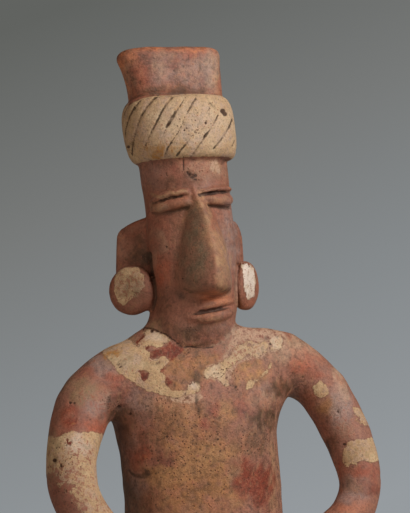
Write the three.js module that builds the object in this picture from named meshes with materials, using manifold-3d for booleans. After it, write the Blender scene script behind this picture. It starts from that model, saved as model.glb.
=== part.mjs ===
// A standing earthenware figure, hand-built and fired as one piece: a long head with a wound turban and a
// flared crest, big ears with disc ornaments, arms akimbo with the hands on the belly, and feet on a low base.
// Units are millimetres. +Z is up, the figure faces -Y, and the origin is the middle of the underside.
import * as THREE from "three";
import { LoftGeometry } from "three/addons/geometries/LoftGeometry.js";
import { mergeVertices } from "three/addons/utils/BufferGeometryUtils.js";
import Module from "manifold-3d";

// Heights above the ground
const BASE_TOP = 12;
const CROTCH = 90;
const HIPS = 122;
const WAIST = 172;
const ARMPITS = 226;
const SHOULDERS = 276;
const CHIN = 265;
const MOUTH = 288;
const EAR_DISC = 298.5;
const NOSE_TIP = 299;
const EYES = 346;
const TURBAN_BOTTOM = 366;
const TURBAN_TOP = 401.5;
const CREST_TOP = 430;

// Half sizes of the main masses
const BASE_ACROSS = 62;
const BASE_DEEP = 50;
const CHEST_ACROSS = 46.3;
const CHEST_DEEP = 34;
const HEAD_ACROSS = 24.3;
const HEAD_DEEP = 20.5;
const TURBAN_ACROSS = 31.3;
const TURBAN_DEEP = 27.5;
const CREST_ACROSS = 28;
const CREST_DEEP = 13;
const EAR_DISC_RADIUS = 13.9;
const EAR_DISC_THICK = 9;
const EAR_DISC_RISE = 2.2;

// The head's lean: where it starts, how steep it is there, and how it grows with height
const HEAD_X = -4.8;
const LEAN_STARTS = 300;
const LEAN = 0.071;
const LEAN_BEND = 0.00045;
const HEAD_TILT = THREE.MathUtils.degToRad(4);

// The turban's incised strokes: how many, how far each winds round, how wide and how deep
const STROKES = 21;
const STROKE_TWIST = THREE.MathUtils.degToRad(38);
const STROKE_WIDTH = 1.5;
const STROKE_DEPTH = 0.9;

// How finely the surfaces are cut into facets
const POINTS_ROUND_BODY = 28;
const POINTS_ROUND_LIMB = 15;
const POINTS_ROUND_SMALL = 10;

const SLIP = new THREE.MeshStandardMaterial({ color: 0x96604a, roughness: 0.72, metalness: 0 });
const BACKWARD = new THREE.Vector3(0, 1, 0);
const UPWARD = new THREE.Vector3(0, 0, 1);
const HEAD_WAY = new THREE.Vector3(-Math.sin(HEAD_TILT), 0, Math.cos(HEAD_TILT));

const wasm = await Module();
wasm.setup();

// The leaning middle line of the head, as x at a height: the head tips towards the figure's right.
function headX(z) {
  const above = Math.max(z - LEAN_STARTS, 0);
  return HEAD_X - LEAN * above - LEAN_BEND * above * above;
}

// A closed form becomes a solid that can be joined and cut.
function solidOf(geometry) {
  const bare = new THREE.BufferGeometry();
  bare.setAttribute("position", geometry.attributes.position);
  bare.setIndex(geometry.index);
  const merged = mergeVertices(bare, 1e-4);
  return new wasm.Manifold(
    new wasm.Mesh({
      numProp: 3,
      vertProperties: new Float32Array(merged.attributes.position.array),
      triVerts: new Uint32Array(merged.index.array),
    }),
  );
}

// The row at place t of a list of rows, each number following a smooth curve through its column.
function rowAt(rows, t) {
  const i = Math.min(Math.floor(t), rows.length - 2);
  const [p0, p1, p2, p3] = [i - 1, i, i + 1, i + 2].map(
    (k) => rows[THREE.MathUtils.clamp(k, 0, rows.length - 1)],
  );
  const f = t - i;
  return p1.map(
    (_, c) =>
      0.5 *
      (2 * p1[c] +
        (p2[c] - p0[c]) * f +
        (2 * p0[c] - 5 * p1[c] + 4 * p2[c] - p3[c]) * f * f +
        (3 * p1[c] - p0[c] - 3 * p2[c] + p3[c]) * f ** 3),
  );
}

// A superellipse point at an angle: squareness 2 is an ellipse, more is boxier and less is pinched.
function onSuperellipse(angle, across, deep, squareness) {
  const bend = (v) => Math.sign(v) * Math.abs(v) ** (2 / squareness);
  return [across * bend(Math.cos(angle)), deep * bend(Math.sin(angle))];
}

// A clay form modelled along a line. Each row is x, y, z, half across, half deep and squareness.
// "across" lies square to the way ahead and to the given direction, and "deep" square to both.
// The way ahead follows the line itself unless one fixed way is given.
function form(rows, { steps = 3, round = POINTS_ROUND_BODY, deepDirection = BACKWARD, way, angles } = {}) {
  const last = (rows.length - 1) * steps;
  const placed = Array.from({ length: last + 1 }, (_, k) => rowAt(rows, k / steps));
  const middle = placed.map(([x, y, z]) => new THREE.Vector3(x, y, z));
  const sections = placed.map(([, , , across, deep, squareness], k) => {
    const along = middle[Math.min(k + 1, last)].clone().sub(middle[Math.max(k - 1, 0)]);
    const ahead = way ?? along.normalize();
    const side = new THREE.Vector3().crossVectors(deepDirection, ahead).normalize();
    const front = new THREE.Vector3().crossVectors(ahead, side);
    return (angles ? angles(k) : evenAngles(round)).map(({ angle, inset = 0 }) => {
      const [a, d] = onSuperellipse(angle, across - inset, deep - inset, squareness);
      return middle[k].clone().addScaledVector(side, a).addScaledVector(front, d);
    });
  });
  return solidOf(new LoftGeometry(sections, { capStart: true, capEnd: true }));
}

function evenAngles(count) {
  return Array.from({ length: count }, (_, k) => ({ angle: (2 * Math.PI * k) / count }));
}

function lowBase() {
  const rows = [
    [0, 0, 0, BASE_ACROSS - 2, BASE_DEEP - 2, 2.5],
    [0, 0, 2, BASE_ACROSS, BASE_DEEP, 2.5],
    [0, 0, BASE_TOP - 3, BASE_ACROSS - 1, BASE_DEEP - 1, 2.5],
    [0, 0, BASE_TOP, BASE_ACROSS - 5, BASE_DEEP - 5, 2.5],
  ];
  return form(rows, { steps: 1, round: 36 });
}

function leg(side) {
  const rows = [
    [side * 27, 9, BASE_TOP - 2, 17.5, 19, 2],
    [side * 27, 8, 36, 17.5, 19, 2],
    [side * 27, 7, 56, 20, 22.5, 2],
    [side * 27, 7, 74, 22.5, 27, 2.1],
    [side * 26.5, 7.5, CROTCH, 24.5, 32, 2.1],
    [side * 26, 8, HIPS - 14, 25.5, 35, 2.1],
    [side * 25, 8, HIPS, 23, 34, 2.1],
  ];
  return form(rows, { steps: 1, round: POINTS_ROUND_LIMB + 3, way: UPWARD });
}

function foot(side) {
  const rows = [
    [side * 26, 28, 18, 8, 6, 2],
    [side * 26, 24, 20, 14, 11, 2.2],
    [side * 26, 8, 24, 17.5, 15, 2.2],
    [side * 27, -12, 20, 18.5, 12, 2.3],
    [side * 28, -30, 17, 19, 8.5, 2.4],
    [side * 28, -38, 15.5, 16, 5.5, 2.3],
    [side * 28, -40.5, 15, 12, 3.5, 2.2],
  ];
  return form(rows, { steps: 1, round: POINTS_ROUND_LIMB + 1, deepDirection: UPWARD });
}

function torso() {
  const rows = [
    [0, 8, CROTCH, 22, 20, 2.2],
    [0, 8, CROTCH + 5, 38, 29, 2.2],
    [0, 8, CROTCH + 16, 48, 36, 2.3],
    [0.3, 8, HIPS + 6, 50.5, 38, 2.3],
    [1.2, 7, 149, 46.5, 35.5, 2.2],
    [1.2, 6, WAIST, 43, 33, 2.2],
    [-1.2, 6, 200, 44, 33.5, 2.2],
    [-3.7, 6, ARMPITS, CHEST_ACROSS, CHEST_DEEP, 2.2],
    [-2.5, 6.5, 243, 52, 31.5, 2.2],
    [0, 7, 254, 57, 28, 2.1],
    [3.5, 7, SHOULDERS - 12, 56, 24.5, 2.1],
    [6.5, 7, SHOULDERS - 5, 47, 22, 2.1],
    [6, 7, SHOULDERS - 1, 41, 20.5, 2.1],
    [-4.5, 6.5, SHOULDERS + 1.3, 28.5, 19.5, 2],
    [-9.5, 6, SHOULDERS + 6.5, 20.5, 18.5, 2],
    [-9.5, 5, SHOULDERS + 16, 18, 16, 2],
  ];
  return form(rows, { steps: 2, way: UPWARD });
}

function rightArm() {
  const rows = [
    [-14, 7, 250, 19, 21, 2],
    [-31, 7, 250, 18.5, 21.5, 2],
    [-49, 6.5, 246.5, 16.8, 19.5, 2],
    [-65.5, 3, 236.5, 16, 17.5, 2],
    [-74.7, -4, 222, 14.4, 15, 2],
    [-80, -12, 205, 13.5, 14, 2],
    [-81, -19, 187, 13.3, 13.3, 2],
    [-71.5, -23, 171.5, 12, 12, 2],
    [-57, -25.5, 160, 11, 10, 2],
    [-41, -27, 152.5, 12, 7.5, 2.2],
    [-27, -31.5, 148, 12.5, 6, 2.4],
    [-18, -33.5, 146, 11, 5.2, 2.4],
    [-15, -34, 145.5, 7.5, 3.5, 2.2],
  ];
  return form(rows, { steps: 2, round: POINTS_ROUND_LIMB });
}

function leftArm() {
  const rows = [
    [16, 7, 255, 18, 21, 2],
    [32, 7, 256.5, 17, 21, 2],
    [49, 6.5, 255.5, 15.2, 19, 2],
    [64, 3, 246, 12.8, 15.5, 2],
    [73.5, -3, 230.5, 11.8, 13.5, 2],
    [79.5, -9, 213, 11.9, 12.8, 2],
    [82, -16, 194, 11.7, 12, 2],
    [76.5, -20, 179, 11.6, 11.8, 2],
    [64, -23, 167, 11.2, 11, 2],
    [48, -25.5, 157.5, 10.6, 9.6, 2],
    [34, -28, 151.5, 11.6, 7.2, 2.2],
    [22, -32, 148, 12, 6, 2.4],
    [13, -34, 146, 10.5, 5.2, 2.4],
    [10, -34.5, 145.5, 7, 3.5, 2.2],
  ];
  return form(rows, { steps: 2, round: POINTS_ROUND_LIMB });
}

const HEAD_ROWS = [
  [-8.5, 3, CHIN - 4, 11, 12, 2],
  [-8.3, 2.5, CHIN - 1.5, 17, 17, 2],
  [-7.8, 2, CHIN + 4, 21, 20.8, 2],
  [-6.8, 1.5, 280, 22.3, 22, 2],
  [-5.2, 2, MOUTH + 4, 22.8, 22, 2],
  [headX(305), 3.5, 305, 23.2, 21, 2],
  [headX(322), 4.5, 322, HEAD_ACROSS, HEAD_DEEP, 2],
  [headX(EYES), 5, EYES, HEAD_ACROSS - 0.5, HEAD_DEEP - 0.5, 2],
  [headX(365), 5.5, 365, HEAD_ACROSS, HEAD_DEEP + 0.5, 2],
  [headX(385), 6, 385, HEAD_ACROSS, HEAD_DEEP + 0.5, 2],
];

function head() {
  return form(HEAD_ROWS, { steps: 2, way: HEAD_WAY });
}

// The head's row at a height, between the two rows given above and below it.
function headRowAt(z) {
  const i = HEAD_ROWS.findLastIndex((row) => row[2] <= z);
  const [below, above] = [HEAD_ROWS[i], HEAD_ROWS[i + 1]];
  const share = (z - below[2]) / (above[2] - below[2]);
  return below.map((value, c) => THREE.MathUtils.lerp(value, above[c], share));
}

// A tall blade of a nose: a pinched section that widens and stands further out towards the tip.
function nose() {
  const rows = [
    [-4.6, -11, NOSE_TIP - 5, 9, 14, 1.7],
    [-4.6, -11, NOSE_TIP - 3.5, 14, 21, 1.6],
    [-4.6, -11, NOSE_TIP, 16.5, 24.5, 1.5],
    [-5, -11, 309, 16, 22.5, 1.4],
    [-6.3, -11, 323, 13, 16.5, 1.4],
    [-8, -11, 336, 9.5, 11, 1.4],
    [-10, -11, 348, 4.8, 6, 1.5],
    [-11.2, -11, 356, 2.4, 3, 1.6],
  ];
  return form(rows, { steps: 2, round: 16 });
}

// A point on the front of the head, at an angle from straight ahead and pushed out from the skin.
function onFace(degrees, z, out) {
  const angle = THREE.MathUtils.degToRad(degrees);
  const [x, y, , across, deep] = headRowAt(z);
  return [x + (across + out) * Math.sin(angle), y - (deep + out) * Math.cos(angle), z];
}

// A spindle of clay pressed along the face from one angle to another, thickest in its middle.
function strip({ from, to, zFrom, zTo, tall, thick, out }) {
  const parts = 6;
  const rows = Array.from({ length: parts + 1 }, (_, k) => {
    const t = k / parts;
    const swell = Math.sqrt(Math.sin(Math.PI * THREE.MathUtils.lerp(0.03, 0.97, t)));
    const place = onFace(THREE.MathUtils.lerp(from, to, t), THREE.MathUtils.lerp(zFrom, zTo, t), out);
    return [...place, thick * swell, tall * swell, 2];
  });
  return form(rows, { steps: 1, round: POINTS_ROUND_SMALL, deepDirection: UPWARD });
}

const EYE_STRIPS = [
  { from: -76, to: -13, zFrom: EYES - 7.8, zTo: EYES - 1 },
  { from: 0, to: 70, zFrom: EYES + 0.3, zTo: EYES + 2.3 },
];
const LIP_SPAN = { from: -33, to: 42 };

function eyesAndLips() {
  const upperLip = { ...LIP_SPAN, zFrom: MOUTH - 0.5, zTo: MOUTH + 5, tall: 3.8, thick: 2.8, out: 0 };
  const lowerLip = { ...LIP_SPAN, zFrom: MOUTH - 9.5, zTo: MOUTH - 4, tall: 4.2, thick: 3.2, out: 0.2 };
  const eyes = EYE_STRIPS.map((eye) => strip({ ...eye, tall: 5.7, thick: 3.2, out: -0.4 }));
  return [...eyes, strip(upperLip), strip(lowerLip)];
}

function slits() {
  const mouth = { ...LIP_SPAN, zFrom: MOUTH - 5, zTo: MOUTH + 0.5, tall: 1.2, thick: 2.4, out: 1.2 };
  const eyeSlit = (eye) =>
    strip({ ...eye, zFrom: eye.zFrom + 2.4, zTo: eye.zTo + 2.6, tall: 1, thick: 2, out: 2 });
  return [...EYE_STRIPS.map(eyeSlit), strip(mouth)];
}

// An ear is a slab splayed back from the side of the head, with a round disc standing on its lower half.
const EAR_SPLAY = Math.PI / 4;

function ear(side) {
  const rise = side > 0 ? 3 : 1.2;
  const outward = (s, z, tall, thick) => [
    headX(z) + side * (15 + s * Math.cos(EAR_SPLAY)),
    9 + s * Math.sin(EAR_SPLAY),
    z + rise,
    tall,
    thick,
    3.6,
  ];
  const rows = [
    outward(-4, 317, 17, 2.6),
    outward(8, 317.5, 17.8, 2.8),
    outward(19, 315.5, 17, 2.8),
    outward(24.5, 314, 14.5, 2.6),
    outward(26.3, 313.5, 10, 1.8),
  ];
  return form(rows, { steps: 1, round: 16 });
}

function earDisc(side) {
  const r = EAR_DISC_RADIUS;
  const h = EAR_DISC_THICK / 2;
  const profile = [
    [0, -h],
    [r * 0.76, -h],
    [r * 0.94, -h * 0.6],
    [r, 0],
    [r * 0.94, h * 0.55],
    [r * 0.72, h * 0.95],
    [0, h * 1.1],
  ].map(([radius, along]) => new THREE.Vector2(radius, along));
  const disc = new THREE.LatheGeometry(profile, 22);
  const facing = new THREE.Vector3(side * Math.sin(EAR_SPLAY), -Math.cos(EAR_SPLAY), 0);
  disc.applyQuaternion(new THREE.Quaternion().setFromUnitVectors(new THREE.Vector3(0, 1, 0), facing));
  disc.translate(headX(EAR_DISC) - 0.5 + side * 32.8, 14, EAR_DISC + (side > 0 ? EAR_DISC_RISE : 0));
  return solidOf(disc);
}

// The turban's angles: each stroke has a sunk middle point between two edge points, and winds with height.
function turbanAngles(share) {
  const pitch = (2 * Math.PI) / STROKES;
  const halfStroke = STROKE_WIDTH / 2 / TURBAN_ACROSS;
  const winding = STROKE_TWIST * share;
  return Array.from({ length: STROKES }, (_, k) => k * pitch + winding).flatMap((start) => [
    { angle: start - halfStroke },
    { angle: start, inset: STROKE_DEPTH },
    { angle: start + halfStroke },
    { angle: start + pitch / 2 },
  ]);
}

function turban() {
  const levels = [
    [0, 0.83],
    [0.06, 0.92],
    [0.22, 0.985],
    [0.5, 1],
    [0.78, 0.98],
    [0.94, 0.9],
    [1, 0.8],
  ];
  const rows = levels.map(([share, size]) => {
    const z = THREE.MathUtils.lerp(TURBAN_BOTTOM, TURBAN_TOP, share);
    return [headX(z), 5.5, z, TURBAN_ACROSS * size, TURBAN_DEEP * size, 2];
  });
  return form(rows, { steps: 1, angles: (k) => turbanAngles(levels[k][0]), way: HEAD_WAY });
}

function crest() {
  const foot = TURBAN_TOP - 4.5;
  const rows = [
    [-15.3, 6, foot, CREST_ACROSS - 2, CREST_DEEP + 1.5, 3],
    [-16.6, 6, foot + 12, CREST_ACROSS - 1.6, CREST_DEEP + 0.8, 3],
    [-18.5, 6, foot + 21, CREST_ACROSS - 0.4, CREST_DEEP, 3],
    [-20, 6, CREST_TOP - 6, CREST_ACROSS + 0.7, CREST_DEEP - 0.5, 3],
    [-20.2, 6, CREST_TOP - 3, CREST_ACROSS - 0.3, CREST_DEEP - 1.5, 3],
    [-20.2, 6, CREST_TOP - 1.2, CREST_ACROSS - 3, CREST_DEEP - 4, 2.8],
    [-20.2, 6, CREST_TOP - 0.5, CREST_ACROSS - 7, CREST_DEEP - 7, 2.6],
  ];
  return form(rows, { steps: 1, way: HEAD_WAY });
}

// All the clay is pressed together into one solid, and the slits are cut into it.
function wholeFigure() {
  const clay = [
    lowBase(),
    ...[-1, 1].flatMap((side) => [leg(side), foot(side), ear(side), earDisc(side)]),
    torso(),
    rightArm(),
    leftArm(),
    head(),
    nose(),
    ...eyesAndLips(),
    turban(),
    crest(),
  ];
  const joined = clay.reduce((sum, piece) => sum.add(piece));
  return slits().reduce((sum, cut) => sum.subtract(cut), joined);
}

// The solid's triangles as a geometry, set down so that the middle of its underside is the origin.
function geometryOf(solid) {
  const { min, max } = solid.boundingBox();
  const { vertProperties, triVerts } = solid.getMesh();
  const geometry = new THREE.BufferGeometry();
  geometry.setAttribute("position", new THREE.BufferAttribute(new Float32Array(vertProperties), 3));
  geometry.setIndex(new THREE.BufferAttribute(new Uint32Array(triVerts), 1));
  geometry.translate(-(min[0] + max[0]) / 2, -(min[1] + max[1]) / 2, -min[2]);
  geometry.computeVertexNormals();
  return geometry;
}

const figure = new THREE.Mesh(geometryOf(wholeFigure()), SLIP);
figure.name = "earthenware_figure";

const statuette = new THREE.Group();
statuette.add(figure);

export default statuette;
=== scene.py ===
# %% [markdown]
# This lesson dresses one hand-built earthenware figure. The real one was coiled and pinched from low-fired
# clay, painted with red-brown and cream slips, burnished, fired once, and then buried for centuries.
# The solid frame gives its size and place. Everything here is worked out from that frame.

# %% The frame
import math

import bpy
import numpy as np
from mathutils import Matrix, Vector


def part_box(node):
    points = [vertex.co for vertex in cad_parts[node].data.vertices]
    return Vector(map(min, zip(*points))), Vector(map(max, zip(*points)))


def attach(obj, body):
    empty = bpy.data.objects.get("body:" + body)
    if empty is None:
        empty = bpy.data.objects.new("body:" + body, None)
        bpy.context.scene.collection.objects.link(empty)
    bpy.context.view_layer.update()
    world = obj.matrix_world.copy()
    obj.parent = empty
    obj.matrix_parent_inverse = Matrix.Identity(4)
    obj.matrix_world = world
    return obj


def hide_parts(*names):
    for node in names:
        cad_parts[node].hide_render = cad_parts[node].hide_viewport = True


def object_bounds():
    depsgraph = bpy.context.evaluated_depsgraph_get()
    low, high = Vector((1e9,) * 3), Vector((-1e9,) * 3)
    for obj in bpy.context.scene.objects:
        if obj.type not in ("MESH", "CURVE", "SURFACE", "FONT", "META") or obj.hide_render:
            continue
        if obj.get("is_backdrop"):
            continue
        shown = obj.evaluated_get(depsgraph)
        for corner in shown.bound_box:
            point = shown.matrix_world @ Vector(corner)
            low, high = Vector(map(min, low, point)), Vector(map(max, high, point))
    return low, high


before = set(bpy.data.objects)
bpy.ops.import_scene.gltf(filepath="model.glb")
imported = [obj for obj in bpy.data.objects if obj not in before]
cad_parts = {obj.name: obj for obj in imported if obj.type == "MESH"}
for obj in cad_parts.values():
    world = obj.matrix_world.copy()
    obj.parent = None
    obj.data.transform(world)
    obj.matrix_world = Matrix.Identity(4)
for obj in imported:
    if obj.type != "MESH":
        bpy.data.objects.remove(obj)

cad_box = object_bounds()
NODE = "earthenware_figure"
low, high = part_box(NODE)
DRAWING_TALL = 430.96
MM = (high.z - low.z) / DRAWING_TALL
print(f"one drawing millimetre is {MM:.6f} m, and the frame's box is {(high - low) / MM}")

# %% [markdown]
# A potter builds such a figure from rolls and slabs. Each one here is a closed surface of two parameters:
# how far along the roll, and how far round it. A roll is told by a few rows of numbers (its middle, its two
# half widths and how square it is), and every column of those numbers follows a smooth curve.

# %% Rolls of clay
BACKWARD = np.array([0.0, 1.0, 0.0])
UPWARD = np.array([0.0, 0.0, 1.0])


def smooth_rows(rows, steps):
    """Rows in between the given ones: each column follows the cubic curve that passes through all its values,
    with the slope at a value equal to half the difference of its neighbours."""
    rows = np.asarray(rows, float)
    last = len(rows) - 1
    t = np.linspace(0, last, last * steps + 1)
    i = np.minimum(t.astype(int), last - 1)
    f = (t - i)[:, None]
    p0, p1, p2, p3 = (rows[np.clip(i + k, 0, last)] for k in (-1, 0, 1, 2))
    return 0.5 * (2 * p1 + (p2 - p0) * f + (2 * p0 - 5 * p1 + 4 * p2 - p3) * f**2
                  + (3 * p1 - p0 - 3 * p2 + p3) * f**3)


def unit(v):
    """Each vector over its own length."""
    return v / np.linalg.norm(v, axis=-1, keepdims=True)


def roll(rows, steps=8, around=72, deep_direction=BACKWARD, way=None):
    """A closed roll as (vertices, quads). Point (s, a) is middle(s) + side * across * c(a) + front * deep *
    d(a), where c and d are the cosine and sine of a raised to 2 / squareness with their signs kept. The way
    ahead follows the middle line unless one fixed way is given. Each end closes on its middle point."""
    placed = smooth_rows(rows, steps)
    middle = placed[:, :3]
    across, deep, square = (placed[:, k, None] for k in (3, 4, 5))
    ahead = np.gradient(middle, axis=0) if way is None else np.broadcast_to(way, middle.shape)
    ahead = unit(ahead)
    side = unit(np.cross(deep_direction, ahead))
    front = np.cross(ahead, side)
    angle = np.linspace(0, 2 * np.pi, around, endpoint=False)[None, :]
    c, d = (np.sign(w) * np.abs(w) ** (2 / square) for w in (np.cos(angle), np.sin(angle)))
    rings = middle[:, None] + side[:, None] * (across * c)[..., None] + front[:, None] * (deep * d)[..., None]
    first_end, last_end = (np.broadcast_to(middle[k], (1, around, 3)) for k in (0, -1))
    points = np.concatenate([first_end, rings, last_end])
    count = len(points)
    s, a = np.meshgrid(np.arange(count - 1), np.arange(around), indexing="ij")
    b = (a + 1) % around
    quads = np.stack([s * around + a, s * around + b, (s + 1) * around + b, (s + 1) * around + a], -1)
    return points.reshape(-1, 3), quads.reshape(-1, 4)


trial_points, trial_quads = roll([(0, 0, 0, 5, 5, 2), (0, 0, 20, 5, 5, 2)])
print(f"a trial roll of two rows has {len(trial_points)} points and {len(trial_quads)} quads")

# %% [markdown]
# The heights and half sizes are those of the solid frame, in drawing millimetres above the ground. The head
# leans to the figure's right, a little more with every finger's breadth, and its rings tip with it.

# %% Measures
BASE_TOP, CROTCH, HIPS, WAIST, ARMPITS, SHOULDERS = 12, 90, 122, 172, 226, 276
CHIN, MOUTH, EAR_DISC, NOSE_TIP, EYES = 265, 288, 298.5, 299, 346
TURBAN_BOTTOM, TURBAN_TOP, CREST_TOP = 367.2, 401.5, 430
BASE_ACROSS, BASE_DEEP = 62, 50
CHEST_ACROSS, CHEST_DEEP = 46.3, 34
HEAD_ACROSS, HEAD_DEEP = 24.3, 20.5
TURBAN_ACROSS, TURBAN_DEEP = 31.3, 27.5
CREST_ACROSS, CREST_DEEP = 28, 13
TURBAN_BACK = 5.5
EAR_SPLAY, EAR_ROOT_OUT, EAR_ROOT_BACK, EAR_SQUARENESS = math.pi / 4, 15, 9, 4.5
EAR_DISC_RADIUS, EAR_DISC_THICK, EAR_DISC_RISE, EAR_DISC_OUT, EAR_DISC_BACK = 13.9, 9, 2.2, 32.8, 14
HEAD_X, LEAN_STARTS, LEAN, LEAN_BEND = -4.8, 300, 0.071, 0.00045
HEAD_TILT = math.radians(4)
HEAD_WAY = np.array([-math.sin(HEAD_TILT), 0, math.cos(HEAD_TILT)])


def head_x(z):
    """The head's middle line: a straight lean plus a bend that grows with the square of the height above."""
    above = np.maximum(z - LEAN_STARTS, 0)
    return HEAD_X - LEAN * above - LEAN_BEND * above**2


print(f"the crest's top lies {HEAD_X - head_x(CREST_TOP):.1f} mm further to the figure's right than the chin")

# %% [markdown]
# The legs and the low base are below the picture's edge, so they are plain and in keeping: two thick columns,
# short flat feet with four creases each, and a round-cornered slab that the clay stood on.

# %% Base, legs and feet
def low_base():
    """A slab: four rings of an oval that leans to a square, drawn in a little at the foot and the top."""
    rows = [(0, 0, 0, BASE_ACROSS - 2, BASE_DEEP - 2, 2.5), (0, 0, 2, BASE_ACROSS, BASE_DEEP, 2.5),
            (0, 0, BASE_TOP - 3, BASE_ACROSS - 1, BASE_DEEP - 1, 2.5),
            (0, 0, BASE_TOP, BASE_ACROSS - 5, BASE_DEEP - 5, 2.5)]
    return roll(rows, way=UPWARD)


def leg(side):
    """An upright column of ovals, wider from the knee up. The side is -1 for the figure's right leg."""
    rows = [(side * 27, 9, BASE_TOP - 2, 17.5, 19, 2), (side * 27, 8, 36, 17.5, 19, 2),
            (side * 27, 7, 56, 20, 22.5, 2), (side * 27, 7, 74, 22.5, 27, 2.1),
            (side * 26.5, 7.5, CROTCH, 24.5, 32, 2.1), (side * 26, 8, HIPS - 14, 25.5, 35, 2.1),
            (side * 25, 8, HIPS, 23, 34, 2.1)]
    return roll(rows, way=UPWARD)


def foot(side):
    """A roll that lies forward from the heel, widest at the toes, and ends bluntly."""
    rows = [(side * 26, 28, 18, 8, 6, 2), (side * 26, 24, 20, 14, 11, 2.2), (side * 26, 8, 24, 17.5, 15, 2.2),
            (side * 27, -12, 20, 18.5, 12, 2.3), (side * 28, -30, 17, 19, 8.5, 2.4),
            (side * 28, -38, 15.5, 16, 5.5, 2.3), (side * 28, -40.5, 15, 12, 3.5, 2.2)]
    return roll(rows, deep_direction=UPWARD)


print("points in the base, a leg and a foot:", *(len(part[0]) for part in (low_base(), leg(1), foot(1))))

# %% [markdown]
# The hollow body is one tall roll, widest at the shoulders. Each arm is a thinner roll that leaves it at the
# shoulder, bends at the elbow and comes back to the belly. The two arms differ, as a hand makes them.

# %% Body and arms
def torso():
    """An upright roll of ovals from the crotch to the neck: each row is a height of the body."""
    rows = [(0, 8, CROTCH, 22, 20, 2.2), (0, 8, CROTCH + 5, 38, 29, 2.2), (0, 8, CROTCH + 16, 48, 36, 2.3),
            (0.3, 8, HIPS + 6, 50.5, 38, 2.3), (1.2, 7, 149, 46.5, 35.5, 2.2), (1.2, 6, WAIST, 43, 33, 2.2),
            (-0.7, 6, 200, 43.4, 33.5, 2.2), (-3.7, 6, ARMPITS, CHEST_ACROSS, CHEST_DEEP, 2.2),
            (-2.5, 6.5, 243, 52, 31.5, 2.2), (0, 7, 254, 57, 28, 2.1),
            (3.5, 7, SHOULDERS - 12, 56, 24.5, 2.1), (7.5, 7, SHOULDERS - 5, 49, 22, 2.1),
            (7.5, 7, SHOULDERS - 0.5, 42.5, 20.5, 2.1),
            (-4.5, 6.5, SHOULDERS + 1.3, 28.5, 19.5, 2), (-9.5, 6, SHOULDERS + 6.5, 20.5, 18.5, 2),
            (-9.5, 5, SHOULDERS + 16, 18, 16, 2)]
    return roll(rows, around=120, way=UPWARD)


def right_arm():
    """A roll from inside the shoulder, round the elbow, to the fingers on the belly."""
    rows = [(-14, 7, 250, 19, 21, 2), (-31, 7, 250.8, 19.1, 21.5, 2), (-49, 6.5, 248.1, 17.9, 19.5, 2),
            (-65, 3, 238, 15.9, 17.5, 2), (-74.2, -4, 222.4, 14.4, 15, 2), (-79, -12, 205, 13.2, 14, 2),
            (-78.4, -19, 187, 12.9, 13.3, 2), (-69, -23, 171.8, 11.6, 12, 2), (-56, -25.5, 160, 11, 10, 2),
            (-41, -27, 152.5, 12, 7.5, 2.2), (-27, -31.5, 148, 12.5, 6, 2.4), (-18, -33.5, 146, 11, 5.2, 2.4),
            (-15, -34, 145.5, 7.5, 3.5, 2.2)]
    return roll(rows)


def left_arm():
    """The other arm, a little higher at the shoulder and further out at the elbow."""
    rows = [(16, 7, 255, 18, 21, 2), (32, 7, 258, 17, 21, 2), (49.5, 6.5, 257.8, 15.8, 19, 2),
            (65.3, 3, 247.8, 14.2, 15.5, 2), (74.8, -3, 231.6, 13.7, 13.8, 2), (81.7, -9, 213.3, 12.6, 13, 2),
            (83.6, -16, 194, 11.4, 12, 2), (78, -20, 178.8, 11.3, 11.8, 2), (64.5, -23, 166.6, 10.9, 11, 2),
            (48, -25.5, 157.5, 10.6, 9.6, 2), (34, -28, 151.5, 11.6, 7.2, 2.2), (22, -32, 148, 12, 6, 2.4),
            (13, -34, 146, 10.5, 5.2, 2.4), (10, -34.5, 145.5, 7, 3.5, 2.2)]
    return roll(rows)


print("points in the body and the arms:", *(len(part[0]) for part in (torso(), right_arm(), left_arm())))

# %% [markdown]
# The face is a convention of the potter's region. Its nose is a blade pinched out of the head, and each eye
# and the mouth are two spindles of clay pressed on above and below a slit.

# %% Head, nose, eyes and lips
HEAD_ROWS = np.array([
    (-8.5, 3, CHIN - 4, 11, 12, 2), (-8.3, 2.5, CHIN - 1.5, 17, 17, 2), (-7.8, 2, CHIN + 4, 21, 20.8, 2),
    (-6.8, 1.5, 280, 22.3, 22, 2), (-5.2, 2, MOUTH + 4, 22.8, 22, 2), (head_x(305), 3.5, 305, 23.2, 21, 2),
    (head_x(322), 4.5, 322, HEAD_ACROSS, HEAD_DEEP, 2),
    (head_x(EYES), 5, EYES, HEAD_ACROSS - 0.5, HEAD_DEEP - 0.5, 2),
    (head_x(365), 5.5, 365, HEAD_ACROSS, HEAD_DEEP + 0.5, 2),
    (head_x(385), 6, 385, HEAD_ACROSS, HEAD_DEEP + 0.5, 2)])


def nose():
    """A blade: pointed ovals up the middle of the face, wide at the nostrils and narrow between the eyes."""
    rows = [(-5.8, -11, NOSE_TIP - 5, 8.6, 13, 1.8), (-5.8, -11, NOSE_TIP - 3.5, 13.8, 20.6, 1.7),
            (-5.9, -11, NOSE_TIP, 15.8, 24, 1.6), (-6.2, -11, 309, 15.4, 23.2, 1.5),
            (-7.2, -11, 323, 12.8, 18.2, 1.45), (-9, -11, 336, 9.1, 12.6, 1.35),
            (-11.8, -11, 346.5, 4.9, 7.8, 1.35), (-13.4, -11, 353.5, 2.2, 3.8, 1.6)]
    return roll(rows, around=96)


def on_face(degrees, z, out):
    """Points on the front of the head: at an angle from straight ahead, pushed out from the skin."""
    angle = np.radians(degrees)
    x, y, across, deep = (np.interp(z, HEAD_ROWS[:, 2], HEAD_ROWS[:, k]) for k in (0, 1, 3, 4))
    return np.stack([x + (across + out) * np.sin(angle), y - (deep + out) * np.cos(angle), z + 0 * angle], -1)


BLUNT_END = 0.03


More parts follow.
